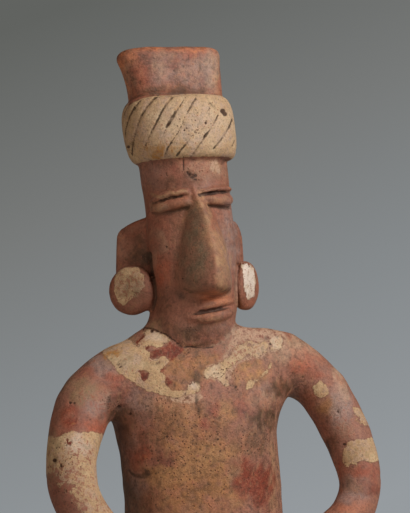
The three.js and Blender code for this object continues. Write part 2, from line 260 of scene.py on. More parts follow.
def strip(stations, tall, thick, out, taper):
    """A spindle of clay pressed along the face through stations of angle and height: its half widths swell
    with a power of a sine along its length."""
    t = np.linspace(0, 1, 9)
    at = t * (len(stations) - 1)
    degrees, z = (np.interp(at, range(len(stations)), column) for column in zip(*stations))
    swell = np.sin(np.pi * (BLUNT_END + (1 - 2 * BLUNT_END) * t)) ** taper
    rows = np.column_stack([on_face(degrees, z, out), thick * swell, tall * swell, np.full_like(t, 2.0)])
    return roll(rows, steps=4, around=32, deep_direction=UPWARD)


RIGHT_EYE_SLIT = [(-77, EYES - 4.2), (-57, EYES - 2.8), (-39, EYES - 0.8), (-19, EYES + 0.4),
                  (-12, EYES + 0.1)]
LEFT_EYE_SLIT = [(-2, EYES + 1.2), (22, EYES + 3), (44, EYES + 3.9), (64, EYES + 4.6)]
MOUTH_SLIT = [(-31, MOUTH - 5.8), (-15, MOUTH - 4.2), (1, MOUTH - 3.1), (17, MOUTH - 1.6), (33, MOUTH - 0.2),
              (47, MOUTH + 1)]


def beside_slit(slit, rise_first, rise_middle, rise_last):
    """The same stations, raised or lowered by amounts that follow a parabola through three values."""
    share = np.linspace(0, 1, len(slit))
    rise = np.polynomial.Polynomial.fit([0, 0.5, 1], [rise_first, rise_middle, rise_last], 2)(share)
    return [(degrees, z + up) for (degrees, z), up in zip(slit, rise)]


# Each row is a slit, how far the spindle lies above it at its ends and middle, and the spindle's half height,
# half thickness and distance out from the skin.
LIDS = [(RIGHT_EYE_SLIT, (1.2, 2.4, 1.2), 2.2, 3.4, 0.4), (RIGHT_EYE_SLIT, (-1.9, -3.3, -2.0), 3.3, 3.3, 0.3),
        (LEFT_EYE_SLIT, (1, 1.9, 1.4), 1.9, 3.2, 0.4), (LEFT_EYE_SLIT, (-2.4, -4.0, -4.0), 3.9, 3.4, 0.3)]
LIPS = [(MOUTH_SLIT, (0.9, 3.1, 1.8), 2.1, 2.2, 0.5), (MOUTH_SLIT, (-1.2, -3.8, -2.2), 3.1, 3.3, 0.5)]
LID_TAPER, LIP_TAPER = 0.5, 0.8


def eyes_and_lips():
    return [strip(beside_slit(slit, *rises), tall, thick, out, taper)
            for strips, taper in ((LIDS, LID_TAPER), (LIPS, LIP_TAPER))
            for slit, rises, tall, thick, out in strips]


print("points in the nose and in each lid and lip:", *(len(part[0]) for part in (nose(), *eyes_and_lips())))

# %% [markdown]
# The turban is a coil laid round the head and the crest a flared, flattened stump above it. The ears are
# slabs set at half a right angle, each with a turned disc on its lower front, and the two sides differ a bit.

# %% Ears, turban and crest
# Each row is the distance out from the ear's root, the height of the slab's middle, and its two half sizes.
EAR_SLABS = {
    -1: [(-4, 318.8, 19.8, 2.6), (8, 318.4, 19.4, 2.8), (17, 317.3, 18.3, 2.8), (23, 316.1, 17.1, 2.8),
         (27.2, 314.8, 15.8, 2.6), (28.8, 313.6, 14.2, 1.8)],
    1: [(-4, 318.3, 19.3, 2.6), (8, 318.4, 19.4, 2.8), (19, 318.6, 19.6, 2.8), (25.5, 318.1, 19.1, 2.8),
        (30.2, 316, 17, 2.6), (32.2, 312.4, 13.4, 1.8)]}


def ear(side):
    """A slab that stands out from the head, half sideways and half back, with a sloping top and an upright
    edge. The side is -1 for the figure's right ear and 1 for its left."""
    out = np.array([side * math.cos(EAR_SPLAY), math.sin(EAR_SPLAY), 0])
    rows = [(*(np.array([head_x(z) + side * EAR_ROOT_OUT, EAR_ROOT_BACK, z]) + out * s), tall, thick,
             EAR_SQUARENESS) for s, z, tall, thick in EAR_SLABS[side]]
    return roll(rows, way=out)


def disc_middle(side):
    x = head_x(EAR_DISC) - 0.2 + side * EAR_DISC_OUT
    return np.array([x, EAR_DISC_BACK, EAR_DISC + side * EAR_DISC_RISE])


def disc_facing(side):
    """Forward and outward at the ears' splay, square to the slab that the disc sits on."""
    return np.array([side * math.sin(EAR_SPLAY), -math.cos(EAR_SPLAY), 0])


def ear_disc(side):
    """A turned disc: circles of the profile's radius, one at each step along the way that the disc faces."""
    r, h = EAR_DISC_RADIUS, EAR_DISC_THICK / 2
    profile = [(r * 0.76, -h), (r * 0.94, -h * 0.6), (r, 0), (r * 0.94, h * 0.55), (r * 0.72, h * 0.95),
               (r * 0.4, h * 1.06)]
    middle, ahead = disc_middle(side), disc_facing(side)
    rows = [(*(middle + ahead * along), radius, radius, 2) for radius, along in profile]
    return roll(rows, steps=6, deep_direction=UPWARD, way=ahead)


def turban():
    """A barrel: its half widths follow the levels, and its middle line bends a little at foot and top."""
    levels = [(0, 0.82), (0.06, 0.91), (0.22, 0.975), (0.5, 1), (0.78, 0.985), (0.94, 0.915), (1, 0.82)]
    heights = [TURBAN_BOTTOM + share * (TURBAN_TOP - TURBAN_BOTTOM) for share, _ in levels]
    rows = [(head_x(z) + 0.9 * (1 - share) ** 2 + 1.3 * share**6, TURBAN_BACK, z, TURBAN_ACROSS * size,
             TURBAN_DEEP * size, 2) for z, (share, size) in zip(heights, levels)]
    return roll(rows, around=120, way=HEAD_WAY)


CREST_FOOT = TURBAN_TOP - 4.5
CREST_ROWS = np.array([
    (-15.3, 6, CREST_FOOT, CREST_ACROSS - 2, CREST_DEEP + 1.5, 3),
    (-16.6, 6, CREST_FOOT + 12, CREST_ACROSS - 1.6, CREST_DEEP + 0.8, 3),
    (-18.5, 6, CREST_FOOT + 21, CREST_ACROSS - 0.4, CREST_DEEP, 3),
    (-20, 6, CREST_TOP - 6, CREST_ACROSS + 0.7, CREST_DEEP - 0.5, 3),
    (-20.2, 6, CREST_TOP - 3, CREST_ACROSS - 0.3, CREST_DEEP - 1.5, 3),
    (-20.2, 6, CREST_TOP - 1.2, CREST_ACROSS - 3, CREST_DEEP - 4, 2.8),
    (-20.2, 6, CREST_TOP - 0.5, CREST_ACROSS - 7, CREST_DEEP - 7, 2.6)])
print("points in the turban, ear and disc:", *(len(part[0]) for part in (turban(), ear(1), ear_disc(1))))

# %% [markdown]
# The potter presses the rolls together and smears the joints until no seam is left. A voxel remesh does the
# first half: it keeps only the outer skin of everything that overlaps. The head carries the finest work, so
# the forms are first seen through a lens that enlarges it: every length above the neck grows by the same
# factor, the remesh runs on even voxels, and the lens is then taken off again.

# %% Pressing the rolls together
rolls = [low_base(), torso(), right_arm(), left_arm(), roll(HEAD_ROWS, way=HEAD_WAY), nose(),
         *eyes_and_lips(), turban(), roll(CREST_ROWS, way=HEAD_WAY)]
for side in (-1, 1):
    rolls += [leg(side), foot(side), ear(side), ear_disc(side)]

VOXEL = 1.95
LENS_HEIGHTS = (0, 140, 196, 252, 270, 430)
LENS_SCALES = (0.74, 0.78, 1.25, 1.4, 2.0, 2.0)
LENS_FROM, LENS_TO, LENS_SLICES = -20, 460, 2401
lens_z = np.linspace(LENS_FROM, LENS_TO, LENS_SLICES)
lens_scale = np.interp(lens_z, LENS_HEIGHTS, LENS_SCALES)
slice_heights = (lens_scale[1:] + lens_scale[:-1]) / 2 * np.diff(lens_z)
lens_height = np.concatenate([lens_z[:1], lens_z[0] + np.cumsum(slice_heights)])


def through_lens(p):
    """Height becomes the sum of the scale below it, and both other lengths grow by the scale at it."""
    scale = np.interp(p[:, 2], lens_z, lens_scale)
    return np.column_stack([p[:, 0] * scale, p[:, 1] * scale, np.interp(p[:, 2], lens_z, lens_height)])


def lens_off(p):
    """The way back: the height from the same table, and both other lengths divided by the scale there."""
    z = np.interp(p[:, 2], lens_height, lens_z)
    scale = np.interp(z, lens_z, lens_scale)
    return np.column_stack([p[:, 0] / scale, p[:, 1] / scale, z])


def mesh_from(name, points, quads):
    """A mesh of quads, filled from whole arrays. Where a roll closes on a point, two corners of a quad fall
    together, and the remesh takes that away."""
    mesh = bpy.data.meshes.new(name)
    mesh.vertices.add(len(points))
    mesh.vertices.foreach_set("co", points.astype(np.float32).ravel())
    mesh.loops.add(quads.size)
    mesh.loops.foreach_set("vertex_index", quads.astype(np.int32).ravel())
    mesh.polygons.add(len(quads))
    mesh.polygons.foreach_set("loop_start", np.arange(0, quads.size, 4, dtype=np.int32))
    mesh.update(calc_edges=True)
    return mesh


def remeshed(points, quads, voxel):
    """The outer skin of overlapping closed forms, as points and quads of about one voxel's size."""
    helper = bpy.data.objects.new("clay", mesh_from("clay", points * MM, quads))
    bpy.context.scene.collection.objects.link(helper)
    remesh = helper.modifiers.new("skin", "REMESH")
    remesh.mode = "VOXEL"
    remesh.voxel_size = voxel * MM
    skin = helper.evaluated_get(bpy.context.evaluated_depsgraph_get()).to_mesh()
    p = np.empty(len(skin.vertices) * 3, np.float32)
    skin.vertices.foreach_get("co", p)
    q = np.empty(len(skin.loops), np.int32)
    skin.loops.foreach_get("vertex_index", q)
    bpy.data.objects.remove(helper)
    return p.reshape(-1, 3).astype(float) / MM, q.reshape(-1, 4)


offsets = np.cumsum([0] + [len(p) for p, _ in rolls])
points = np.concatenate([p for p, _ in rolls])
quads = np.concatenate([q + first for (_, q), first in zip(rolls, offsets)])
skin, faces = remeshed(through_lens(points), quads, VOXEL)
skin = lens_off(skin)
print(f"{len(rolls)} rolls pressed into one skin of {len(skin)} points and {len(faces)} faces")

# %% [markdown]
# A wet thumb then smooths the clay. Moving each point towards the mean of its neighbours does the same. Where
# a joint was smeared, at the shoulders, neck, hips, ankles and round the nose, it is done many times, and
# elsewhere only enough to take out the voxels' steps.

# %% Smoothing with a thumb
edges = np.sort(np.concatenate([faces[:, [k, (k + 1) % 4]] for k in range(4)]), axis=1)
edges = np.unique(edges, axis=0)
neighbours = np.bincount(edges.ravel(), minlength=len(skin))[:, None]


def towards_neighbours(p):
    """For each point, the mean of its neighbours less the point itself."""
    total = np.stack([np.bincount(edges[:, 0], p[edges[:, 1], k], len(p))
                      + np.bincount(edges[:, 1], p[edges[:, 0], k], len(p)) for k in range(p.shape[1])], -1)
    return total / neighbours - p


def nearness(p, middle, radii):
    """1 at the middle of an ellipsoid, falling as exp of minus the squared distance over the radii: about a
    third at its skin, and 0 well outside."""
    return np.exp(-(((p - middle) / radii) ** 2).sum(1))


def normals(p):
    """The direction square to the two diagonals of each face, summed at its corners."""
    square_to = np.cross(p[faces[:, 2]] - p[faces[:, 0]], p[faces[:, 3]] - p[faces[:, 1]])
    total = np.stack([sum(np.bincount(faces[:, c], square_to[:, k], len(p)) for c in range(4))
                      for k in range(3)], -1)
    return unit(total)


# A push in and a slightly larger push out take off the voxels' steps and leave the sizes as they were.
ROUNDS, PUSH_IN, PUSH_OUT = 3, 0.55, 0.57
for _ in range(ROUNDS):
    skin += PUSH_IN * towards_neighbours(skin)
    skin -= PUSH_OUT * towards_neighbours(skin)

# Each smeared joint is a middle, three radii and a number of passes of the thumb.
SMEARED = [((-55, 4, 246), (18, 26, 20), 70), ((52, 4, 253), (18, 26, 18), 70),
           ((-10, 24, 279), (30, 18, 14), 60), ((24, 8, 278), (20, 20, 8), 40),
           ((-36, 6, 278), (14, 18, 10), 40), ((-26, 8, 100), (34, 40, 16), 60),
           ((26, 8, 100), (34, 40, 16), 60), ((-26, 0, 30), (24, 22, 12), 40),
           ((26, 0, 30), (24, 22, 12), 40), ((-48, 0, 226), (12, 24, 10), 30),
           ((44, 0, 240), (10, 24, 8), 10), ((-21, -20, 300), (9, 14, 14), 36)]
THUMB_PRESS = 0.5
for middle, radii, passes in SMEARED:
    thumb = nearness(skin, middle, radii)[:, None]
    for _ in range(passes):
        skin += THUMB_PRESS * thumb * towards_neighbours(skin)
print(f"smoothed {len(SMEARED)} joints; the skin's box is {skin.min(0).round(1)} to {skin.max(0).round(1)}")

# %% [markdown]
# The figure is painted and scarred in places that can be read off a photograph. It is taken from a little to
# the figure's right and from about the height of its elbows. One function turns each point of the clay into
# its place in that picture, in pixels of a frame 410 wide and 513 tall. What it marks stays on the clay.

# %% The photographer's eye
EYE = np.array([-393.3, -1080.6, 225.0])
AIM = np.array([0.0, 0.0, 315.5])
PICTURE_WIDE, PICTURE_TALL, MM_PER_PIXEL = 410, 513, 0.544
ahead = unit(AIM - EYE)
rightward = unit(np.cross(ahead, UPWARD))
upward = np.cross(rightward, ahead)
FOCAL_PIXELS = np.linalg.norm(AIM - EYE) / MM_PER_PIXEL


def in_picture(p):
    """Pixels across and down: the sideways and upward distances from the line of sight, over the depth."""
    ray = p - EYE
    depth = ray @ ahead
    return np.column_stack([PICTURE_WIDE / 2 + FOCAL_PIXELS * (ray @ rightward) / depth,
                            PICTURE_TALL / 2 - FOCAL_PIXELS * (ray @ upward) / depth])


FAR_AWAY, NEARBY = 20.0, 14


def away_from(places, path):
    """Distance from each place to a chain of straight lengths: the least, over its lengths, of the distance
    to the nearest point of that length. Places that aren't near the path's box count as far away."""
    path = np.asarray(path, float)
    out = np.full(len(places), FAR_AWAY)
    close = ((places > path.min(0) - NEARBY) & (places < path.max(0) + NEARBY)).all(1)
    rel = places[close][:, None] - path[:-1]
    along = path[1:] - path[:-1]
    share = np.clip((rel * along).sum(-1) / (along**2).sum(-1), 0, 1)
    out[close] = np.linalg.norm(rel - share[..., None] * along, axis=-1).min(1)
    return out


def inside(places, outline):
    """Signed distance to a closed outline: the distance to its nearest side, positive where a level line to
    the right crosses the sides an odd number of times."""
    a = np.asarray(outline, float)
    b = np.roll(a, -1, 0)
    x, y = places[:, :1], places[:, 1:]
    crossed = (a[:, 1] > y) != (b[:, 1] > y)
    slope = (b[:, 0] - a[:, 0]) / np.where(b[:, 1] == a[:, 1], 1e-9, b[:, 1] - a[:, 1])
    odd = (crossed & (x < a[:, 0] + (y - a[:, 1]) * slope)).sum(1) % 2
    return np.where(odd == 1, 1, -1) * away_from(places, np.vstack([a, a[:1]]))


# The body's middle line stands a little beside the middle of the frame's box, and the underside is flat.
BODY_SHIFT, UNDERSIDE = 0.68, 0.7
skin[:, 0] += BODY_SHIFT
skin[:, 2] = np.where(skin[:, 2] < UNDERSIDE, 0, skin[:, 2])
outward = normals(skin)
seen = in_picture(skin)
facing = (outward * unit(EYE - skin)).sum(1)
print(f"{(facing > 0).mean():.0%} of the skin faces the camera")

# %% [markdown]
# Now the marks of hand and tool, as heights in millimetres along the skin's own outward direction. Each is a
# formula on whole arrays, and all are summed. The first are the strokes that a stick drew in the wet turban.
# Those that the picture shows follow its paths, and the rest go on round the back at one slant.

# %% Slanting strokes on the turban
# Each drawn stroke is a faintness and a path in pixels. The faintness is a distance in millimetres that makes
# the stroke narrower and shallower; below 0, it makes it wider.
DRAWN_STROKES = [
    (0.35, [(138.3, 105.8), (130.8, 115), (126.7, 123.3), (124.7, 133.3)]),
    (0.0, [(158.3, 95), (151.7, 100.8), (145.8, 108.3), (140.8, 117.5)]),
    (0.15, [(140.8, 117.5), (136.7, 128.3), (133.8, 138.3), (132, 148.3), (131.7, 155)]),
    (0.0, [(172.5, 96.7), (166.7, 103.3), (161.7, 111.7), (157.5, 120), (152.5, 130)]),
    (0.2, [(152.5, 130), (147.5, 140), (144.2, 148.3), (142.5, 155)]),
    (0.25, [(185, 97.5), (180.8, 105), (175.8, 111.7)]),
    (-0.25, [(175.8, 111.7), (170.8, 120), (166.9, 126.5)]),
    (0.4, [(166.7, 127), (163.3, 135), (160, 141.7)]), (0.0, [(195.8, 98.3), (190.8, 106.7), (188.5, 111)]),
    (0.3, [(188.5, 111), (181.7, 125), (177.5, 133.3), (171.7, 141.7)]),
    (0.05, [(171.7, 141.7), (167.5, 148.3), (165.3, 155)]),
    (0.4, [(211, 106), (203.3, 118.3), (195, 131.7), (188.3, 141.7)]),
    (0.0, [(188.3, 141.7), (181.7, 149.2), (176.7, 155.8)]),
    (0.1, [(218.3, 115), (214.2, 123.3), (208.3, 132.5)]), (-0.15, [(208.3, 132.5), (205, 137)]),
    (0.1, [(205, 137), (203.3, 140), (197.5, 148.3), (193, 154.2)]),
    (0.05, [(232.5, 119.2), (229.2, 126.7), (225, 134.2), (219.2, 142.5), (214.2, 148.3)]),
    (0.35, [(235, 140), (230.8, 148.3)])]
STROKE_HALF_WIDE, STROKE_DEEP = 0.62, 0.6
BEHIND_ANGLES = range(84, 262, 16)
BEHIND_SLANT, BEHIND_FIRST, BEHIND_LAST = 58, 0.04, 0.93
ANGLE_TAKEN_AT, STROKES_FROM, STROKES_TO = 0.3, -0.02, 1.08
TURBAN_TALL = TURBAN_TOP - TURBAN_BOTTOM

# %% [markdown]
# A stroke's depth follows from the distance to it. Round the turban that distance is an angle times the reach
# from the head's middle line, so it can be worked out for every point at once. Sculpting would do the same by
# hand, but a formula stays with the figure when its size changes.

# %% Round the turban
beside_head = skin[:, 0] - BODY_SHIFT - head_x(skin[:, 2])
tilted_height = skin[:, 2] + beside_head * HEAD_WAY[0]
turban_share = (tilted_height - TURBAN_BOTTOM) / TURBAN_TALL
turban_angle = np.degrees(np.arctan2(beside_head, TURBAN_BACK - skin[:, 1]))
turban_reach = np.hypot(beside_head, skin[:, 1] - TURBAN_BACK)
square_on = 1 / math.hypot(1, math.radians(BEHIND_SLANT) * TURBAN_ACROSS / TURBAN_TALL)


def groove(away, half_wide, deep):
    """A rounded groove: its full depth times exp of minus the square of the distance over its half width."""
    return deep * np.exp(-((away / half_wide) ** 2))


def in_front(away):
    """The distance as it is where the skin faces the camera, and far away elsewhere."""
    return np.where(facing < 0, FAR_AWAY, away)


stroke_away = np.full(len(skin), FAR_AWAY)
for foot_angle in BEHIND_ANGLES:
    turn = (turban_angle - foot_angle - BEHIND_SLANT * (turban_share - ANGLE_TAKEN_AT) + 180) % 360 - 180
    sideways = np.abs(np.radians(turn)) * turban_reach * square_on
    beyond = np.maximum(np.maximum(BEHIND_FIRST - turban_share, turban_share - BEHIND_LAST), 0) * TURBAN_TALL
    stroke_away = np.minimum(stroke_away, np.hypot(sideways, beyond))
for faintness, path in DRAWN_STROKES:
    stroke_away = np.minimum(stroke_away, in_front(away_from(seen, path) * MM_PER_PIXEL + faintness))
stroke_away[(turban_share < STROKES_FROM) | (turban_share > STROKES_TO)] = FAR_AWAY
lift = -groove(stroke_away, STROKE_HALF_WIDE, STROKE_DEEP)
print(f"{len(DRAWN_STROKES)} strokes in front and {len(BEHIND_ANGLES)} behind, {-lift.min():.2f} mm deep")

# %% [markdown]
# A slit is a cut with a pointed stick, and so are the creases between fingers and toes. Eyes and mouth are
# cut along the same stations that their lids and lips were laid by. Every cut is the same rounded groove,
# along a path of its own. Hands and feet lie below the picture's edge, so their creases are few and plain.

# %% Slits of eyes and mouth
shift = np.array([BODY_SHIFT, 0, 0])


def part_of(stations, first, last, count=7):
    """The stretch of a path of stations between two shares of its length."""
    at = np.linspace(first, last, count) * (len(stations) - 1)
    return np.column_stack([np.interp(at, range(len(stations)), column) for column in zip(*stations)])


def on_face_path(stations, out):
    """A path of stations as points that stand out from the face."""
    degrees, z = np.array(stations, float).T
    return on_face(degrees, z, out) + shift


# Each slit is a path, a half width and a depth in millimetres. The mouth is deepest and widest in its middle,
# so three shorter and wider grooves are cut over its first.
EYE_OUT, MOUTH_OUT = 2.8, 2.5
SLITS = [(on_face_path(RIGHT_EYE_SLIT, EYE_OUT), 0.6, 1.5), (on_face_path(LEFT_EYE_SLIT, EYE_OUT), 0.65, 1.5),
         (on_face_path(LEFT_EYE_SLIT[:2], 2.4), 1.1, 0.8), (on_face_path(MOUTH_SLIT, MOUTH_OUT), 0.8, 1.5)]
for inward in (0.08, 0.16, 0.24):
    middle_part = part_of(MOUTH_SLIT, inward, 1 - 0.8 * inward)
    SLITS.append((on_face_path(middle_part, MOUTH_OUT), 0.8 + 3.2 * inward, 0.4))
UNDER_LIDS = [(on_face_path(beside_slit(RIGHT_EYE_SLIT, -4.2, -7.4, -4.0), 0.8), 1.0, 0.7),
              (on_face_path(beside_slit(LEFT_EYE_SLIT, -5, -8.6, -8.4), 0.8), 1.1, 1.2)]
slit_away = np.full(len(skin), FAR_AWAY)
for path, half_wide, deep in SLITS:
    away = away_from(skin, path)
    slit_away = np.minimum(slit_away, away - half_wide)
    lift -= groove(away, half_wide, deep)
for path, half_wide, deep in UNDER_LIDS:
    lift -= groove(away_from(skin, path), half_wide, deep)
print(f"{len(SLITS)} cuts for eyes and mouth, and {(slit_away < 0).sum()} points inside them")

# %% [markdown]
# Fingers and toes are not rolls of their own here. The potter pressed them out of one flat paddle, so creases
# across the paddle's end are all that tells them apart.

# %% Fingers and toes
# A crease is a half width and a depth. It runs along the back of each guessed hand and over a foot's front.
FINGER_TALL, FINGER_CREASE, TOE_CREASE = 6.2, (1.5, 1.1), (1.7, 1.2)
HANDS = [[(-34, -36, 150.5), (-27, -39, 148), (-14, -40, 146)],
         [(29, -36, 150), (22, -39, 148), (8, -40, 146)]]
TOE_CREASES_AT = (-10.5, -3.5, 3.5, 10.5)
for rows in HANDS:
    for up in (-FINGER_TALL, 0, FINGER_TALL):
        path = np.array(rows, float) + (0, 1.5 * abs(up) / 6, up) + shift
        lift -= groove(away_from(skin, path), *FINGER_CREASE)
for side in (-1, 1):
    for across in TOE_CREASES_AT:
        path = np.array([(side * 27.5 + across * 0.95, -25, 27), (side * 28 + across, -36, 22),
                         (side * 28 + across, -43, 15)])
        lift -= groove(away_from(skin, path + shift), *TOE_CREASE)
print(f"{3 * len(HANDS)} creases between fingers and {2 * len(TOE_CREASES_AT)} between toes")

# %% [markdown]
# Cracks, gaps, pits and chips are damage that the picture shows, so each is a path or a spot read off it: its
# place is in pixels, and its half width and depth are in millimetres. The narrowest cracks are also painted
# dark later, for the dirt that fills them and as painted shade inside them. The wider grooves only catch the
# shade.

# %% Cracks and gaps
CRACKS = [
    ([(143.5, 328), (151.6, 328), (157.6, 330.7), (165.6, 334), (171.7, 338.8), (177, 342.8), (183, 347.5),
      (189.7, 346.5), (196.4, 347.5)], 0.3, 0.6),
    ([(196.4, 347.5), (204, 348.4), (213, 347)], 0.2, 0.4),
    ([(183.5, 157), (183.6, 170)], 0.3, 0.3),
    ([(187.5, 172), (190, 176.5), (197, 180.5)], 0.45, 0.7),
    ([(191, 173), (193.5, 175.5)], 0.35, 0.4),
    ([(213, 347), (225.5, 342), (233.5, 331)], 0.8, 0.35),
    ([(196.5, 392), (196, 405), (197.5, 424)], 2.2, 0.4),
    ([(140, 470), (146, 475), (152, 473)], 1.3, 0.7),
    ([(283, 377), (287, 389)], 1.0, 0.3),
    ([(288, 376), (292, 386)], 1.0, 0.3),
    ([(279, 381), (283, 392)], 1.0, 0.25),
    ([(131, 98), (145, 94.5), (165, 93), (190, 94.5), (213, 98), (224, 101)], 0.7, 0.7)]
GAPS = [
    ([(149.4, 253.5), (150.5, 269), (153.9, 284), (155, 297.5), (151.7, 310)], 0.9, 2.2),
    ([(238.4, 265), (238, 281), (236.7, 295), (238, 306.5)], 0.8, 1.8)]
WIDEST_PAINTED, CRACK_RIM = 0.5, 0.15
crack_away = np.full(len(skin), FAR_AWAY)
for path, half_wide, deep in CRACKS + GAPS:
    away = in_front(away_from(seen, path) * MM_PER_PIXEL)
    if half_wide < WIDEST_PAINTED:
        crack_away = np.minimum(crack_away, away - half_wide - CRACK_RIM)
    lift -= groove(away, half_wide, deep)
print(f"{len(CRACKS)} cracks and {len(GAPS)} gaps, and the marks so far are {-lift.min():.2f} mm deep")

# %% [markdown]
# Pits are where grains of grit fell out or the skin was knocked, and they have a flat floor and a sharp rim.
# Low mounds are the opposite: clay pushed up from inside the hollow body, with no rim at all.

# %% Pits, chips and low mounds
# Each pit is across, down, radius and depth. Its floor is flat: exp of minus the distance's fourth power.
PITS = [
    (186, 329, 0.5, 0.4), (189.5, 331.5, 0.5, 0.4), (193, 330, 0.5, 0.4), (196, 333.5, 0.6, 0.4),
    (198.5, 336, 0.5, 0.4), (191, 335, 0.4, 0.3), (187, 333.5, 0.4, 0.3), (201, 333, 0.4, 0.3),
    (79.5, 397.2, 0.6, 0.4), (93.6, 418, 0.7, 0.4), (90.2, 419.3, 0.6, 0.4), (143.5, 330, 0.5, 0.4),
    (120.5, 366.3, 0.8, 0.4), (48.5, 462, 0.5, 0.3), (237, 373.5, 0.6, 0.4), (244, 374.5, 0.6, 0.4),
    (230.5, 385.5, 0.6, 0.5), (234.5, 386.5, 0.6, 0.5), (226, 389, 0.5, 0.4), (338.3, 411, 0.8, 0.7),
    (345, 444, 1.0, 0.4), (223, 111, 1.4, 1.0), (225, 114, 1.3, 0.9), (206, 123, 0.8, 0.7),
    (187, 128, 0.7, 0.6), (184.5, 130, 0.7, 0.6), (189, 117, 0.6, 0.5), (196, 130, 0.5, 0.5),
    (205, 136, 0.8, 0.6), (168, 124.5, 0.9, 0.7), (128, 147, 0.9, 0.5), (70.5, 403, 0.9, 0.9),
    (74.5, 403.5, 0.8, 0.8), (119.5, 407, 1.1, 1.1), (148, 407, 0.8, 0.8), (130, 414, 0.9, 0.7),
    (53.5, 460, 1.3, 0.8), (60.5, 465, 1.1, 1.0), (338, 411, 0.9, 0.8), (338, 443, 0.8, 0.6),
    (344, 444, 0.9, 0.6), (151.5, 331, 0.9, 0.9), (121, 366, 0.8, 0.5), (167.5, 436.5, 0.9, 0.8),
    (158.5, 460, 0.8, 0.8), (199.5, 449, 0.7, 0.6), (220, 451.5, 0.8, 0.6), (218, 439, 0.9, 0.6),
    (236, 387, 0.8, 0.6), (188.5, 174, 0.8, 0.8), (195.5, 175.5, 1.1, 0.6), (166.5, 247, 0.7, 0.5),
    (182, 278.5, 0.6, 0.6), (193, 280.5, 0.6, 0.5), (225, 174.5, 0.5, 0.5), (270, 344, 0.8, 0.5)]
pit_away = np.full(len(skin), FAR_AWAY)
for x, y, radius, deep in PITS:
    away = in_front(np.hypot(seen[:, 0] - x, seen[:, 1] - y) * MM_PER_PIXEL)
    pit_away = np.minimum(pit_away, away - radius)
    lift -= deep * np.exp(-((away / radius) ** 4))

# The swell under the nose, the low breasts, the belly, the buttocks and the shoulder blades: each is a
# middle, three radii and a height.
MOUNDS = [((-3, -20, 289), (14, 12, 8), 1.8), ((-35, -27, 216), (15, 12, 15), 1.6),
          ((17, -28, 219), (15, 12, 15), 1.6), ((2, -40, 158), (34, 16, 26), 1.2),
          ((-23, 46, 106), (20, 20, 18), 5.0), ((23, 46, 106), (20, 20, 18), 5.0),
          ((-30, 38, 250), (18, 16, 18), 1.2), ((30, 38, 250), (18, 16, 18), 1.2)]
for middle, radii, high_by in MOUNDS:
    lift += high_by * nearness(skin, np.array(middle) + shift, radii)
print(f"{len(PITS)} pits and {len(MOUNDS)} mounds, the highest lifting the skin by {lift.max():.2f} mm")

# %% [markdown]
# Nothing made by hand is quite even. The sum of many waves of about one length, each in a direction and at a
# start of its own, gives that unevenness without a repeat. The draws come from one seeded source and always
# in the same order, so that the figure is the same each time.

# %% The hand's waves
SEED = 7
chance = np.random.default_rng(SEED)


def waves(p, length, count):
    """A hand's unevenness: the sum of many plane waves of about one length, over the root of their count,
    each in a direction and at a start of its own, so that nothing repeats."""
    way = unit(chance.normal(size=(count, 3))) * 2 * np.pi / (length * chance.uniform(0.7, 1.5, (count, 1)))
    return np.sin(p @ way.T + chance.uniform(0, 2 * np.pi, count)).sum(-1) / math.sqrt(count)


# Each row is a wave's length, the count of waves, the height on the body, and how much lower on the head.
HAND_WAVES = [(34, 14, 0.42, 0.2), (11, 18, 0.13, 0.04)]
calm = np.clip((tilted_height - 282) / 20, 0, 1)
for length, count, height, lower_on_head in HAND_WAVES:
    lift += (height - lower_on_head * calm) * waves(skin, length, count)
lift *= np.clip(skin[:, 2] / 3, 0, 1)
skin += outward * lift[:, None]
outward = normals(skin)
print(f"marks lift the skin by {lift.min():.2f} to {lift.max():.2f} mm")

# %% [markdown]
# Dirt settles in hollows, shade falls in them, and slip wears off ridges. How far a point stands out from the
# same skin after much smoothing tells where: below it is a hollow, and above it is a ridge. The hollows are
# later painted darker, for their dirt and as painted shade. Two such readings are taken, a near one for slits
# and grooves, and a far one for joints between the forms.

# %% Hollows and ridges
RUB, NEAR_PASSES, FAR_PASSES = 0.6, 6, 60


def stands_out(passes):
    """Millimetres by which a point stands above the skin that the given number of smoothing passes leaves."""
    worn_down = skin.copy()
    for _ in range(passes):
        worn_down += RUB * towards_neighbours(worn_down)
    return ((skin - worn_down) * outward).sum(1)


near_relief = stands_out(NEAR_PASSES)
far_relief = stands_out(FAR_PASSES)
for name, relief in (("near", near_relief), ("far", far_relief)):
    print(f"the middle nine tenths of the {name} relief, in mm:", np.percentile(relief, [5, 95]).round(2))

# %% [markdown]
# The paint is clay too: thin slips of red-brown and cream, brushed on before the fire. Low-fired clay is
# never one colour, so the palette below names what each tone is on the real thing, from rose where the red
# slip is thin to umber where the smoke reached it. Some tones are also laid as painted light: the soot tone,
# groove, slit, umber, brown and olive as painted shade in places, and the bright rim tone, tan, salmon,
# terracotta, pink cream and pink clay as painted highlights in places. The values are plain sRGB; a material
# wants linear light.

# %% Colours of slip, clay and dirt
CLAYS = {
    "red_slip": "9a6350", "rose": "a3705f", "brick": "a05743", "bright_brick": "ae5c43",
    "strong_red": "8c3f2b", "deep_red": "7e311d", "dull_red": "8d5646", "mauve": "93594c", "salmon": "b5735a",
    "terracotta": "a9654c", "orange_brown": "a5694a", "rose_grey": "967862", "lavender": "a08078",
    "pale_lavender": "ae9389", "pink_clay": "b48d75", "ochre": "a8754c", "light_ochre": "b58458",
    "brown": "7f5439", "umber": "5e402b", "olive": "84705a", "tan": "b68c69", "tan_olive": "9c8060",
    "cream": "c6a27c", "light_cream": "d6b892", "grey_cream": "a89072", "pink_cream": "c6a48b",
    "pale_cream": "f2e0d2", "orange_stain": "b07a3c", "soot_and_shade": "3c2a1d", "groove": "46321f", "slit": "46281b",
    "painted_highlight": "d88459", "speck": "5a3828", "grimy": "8d7759"}


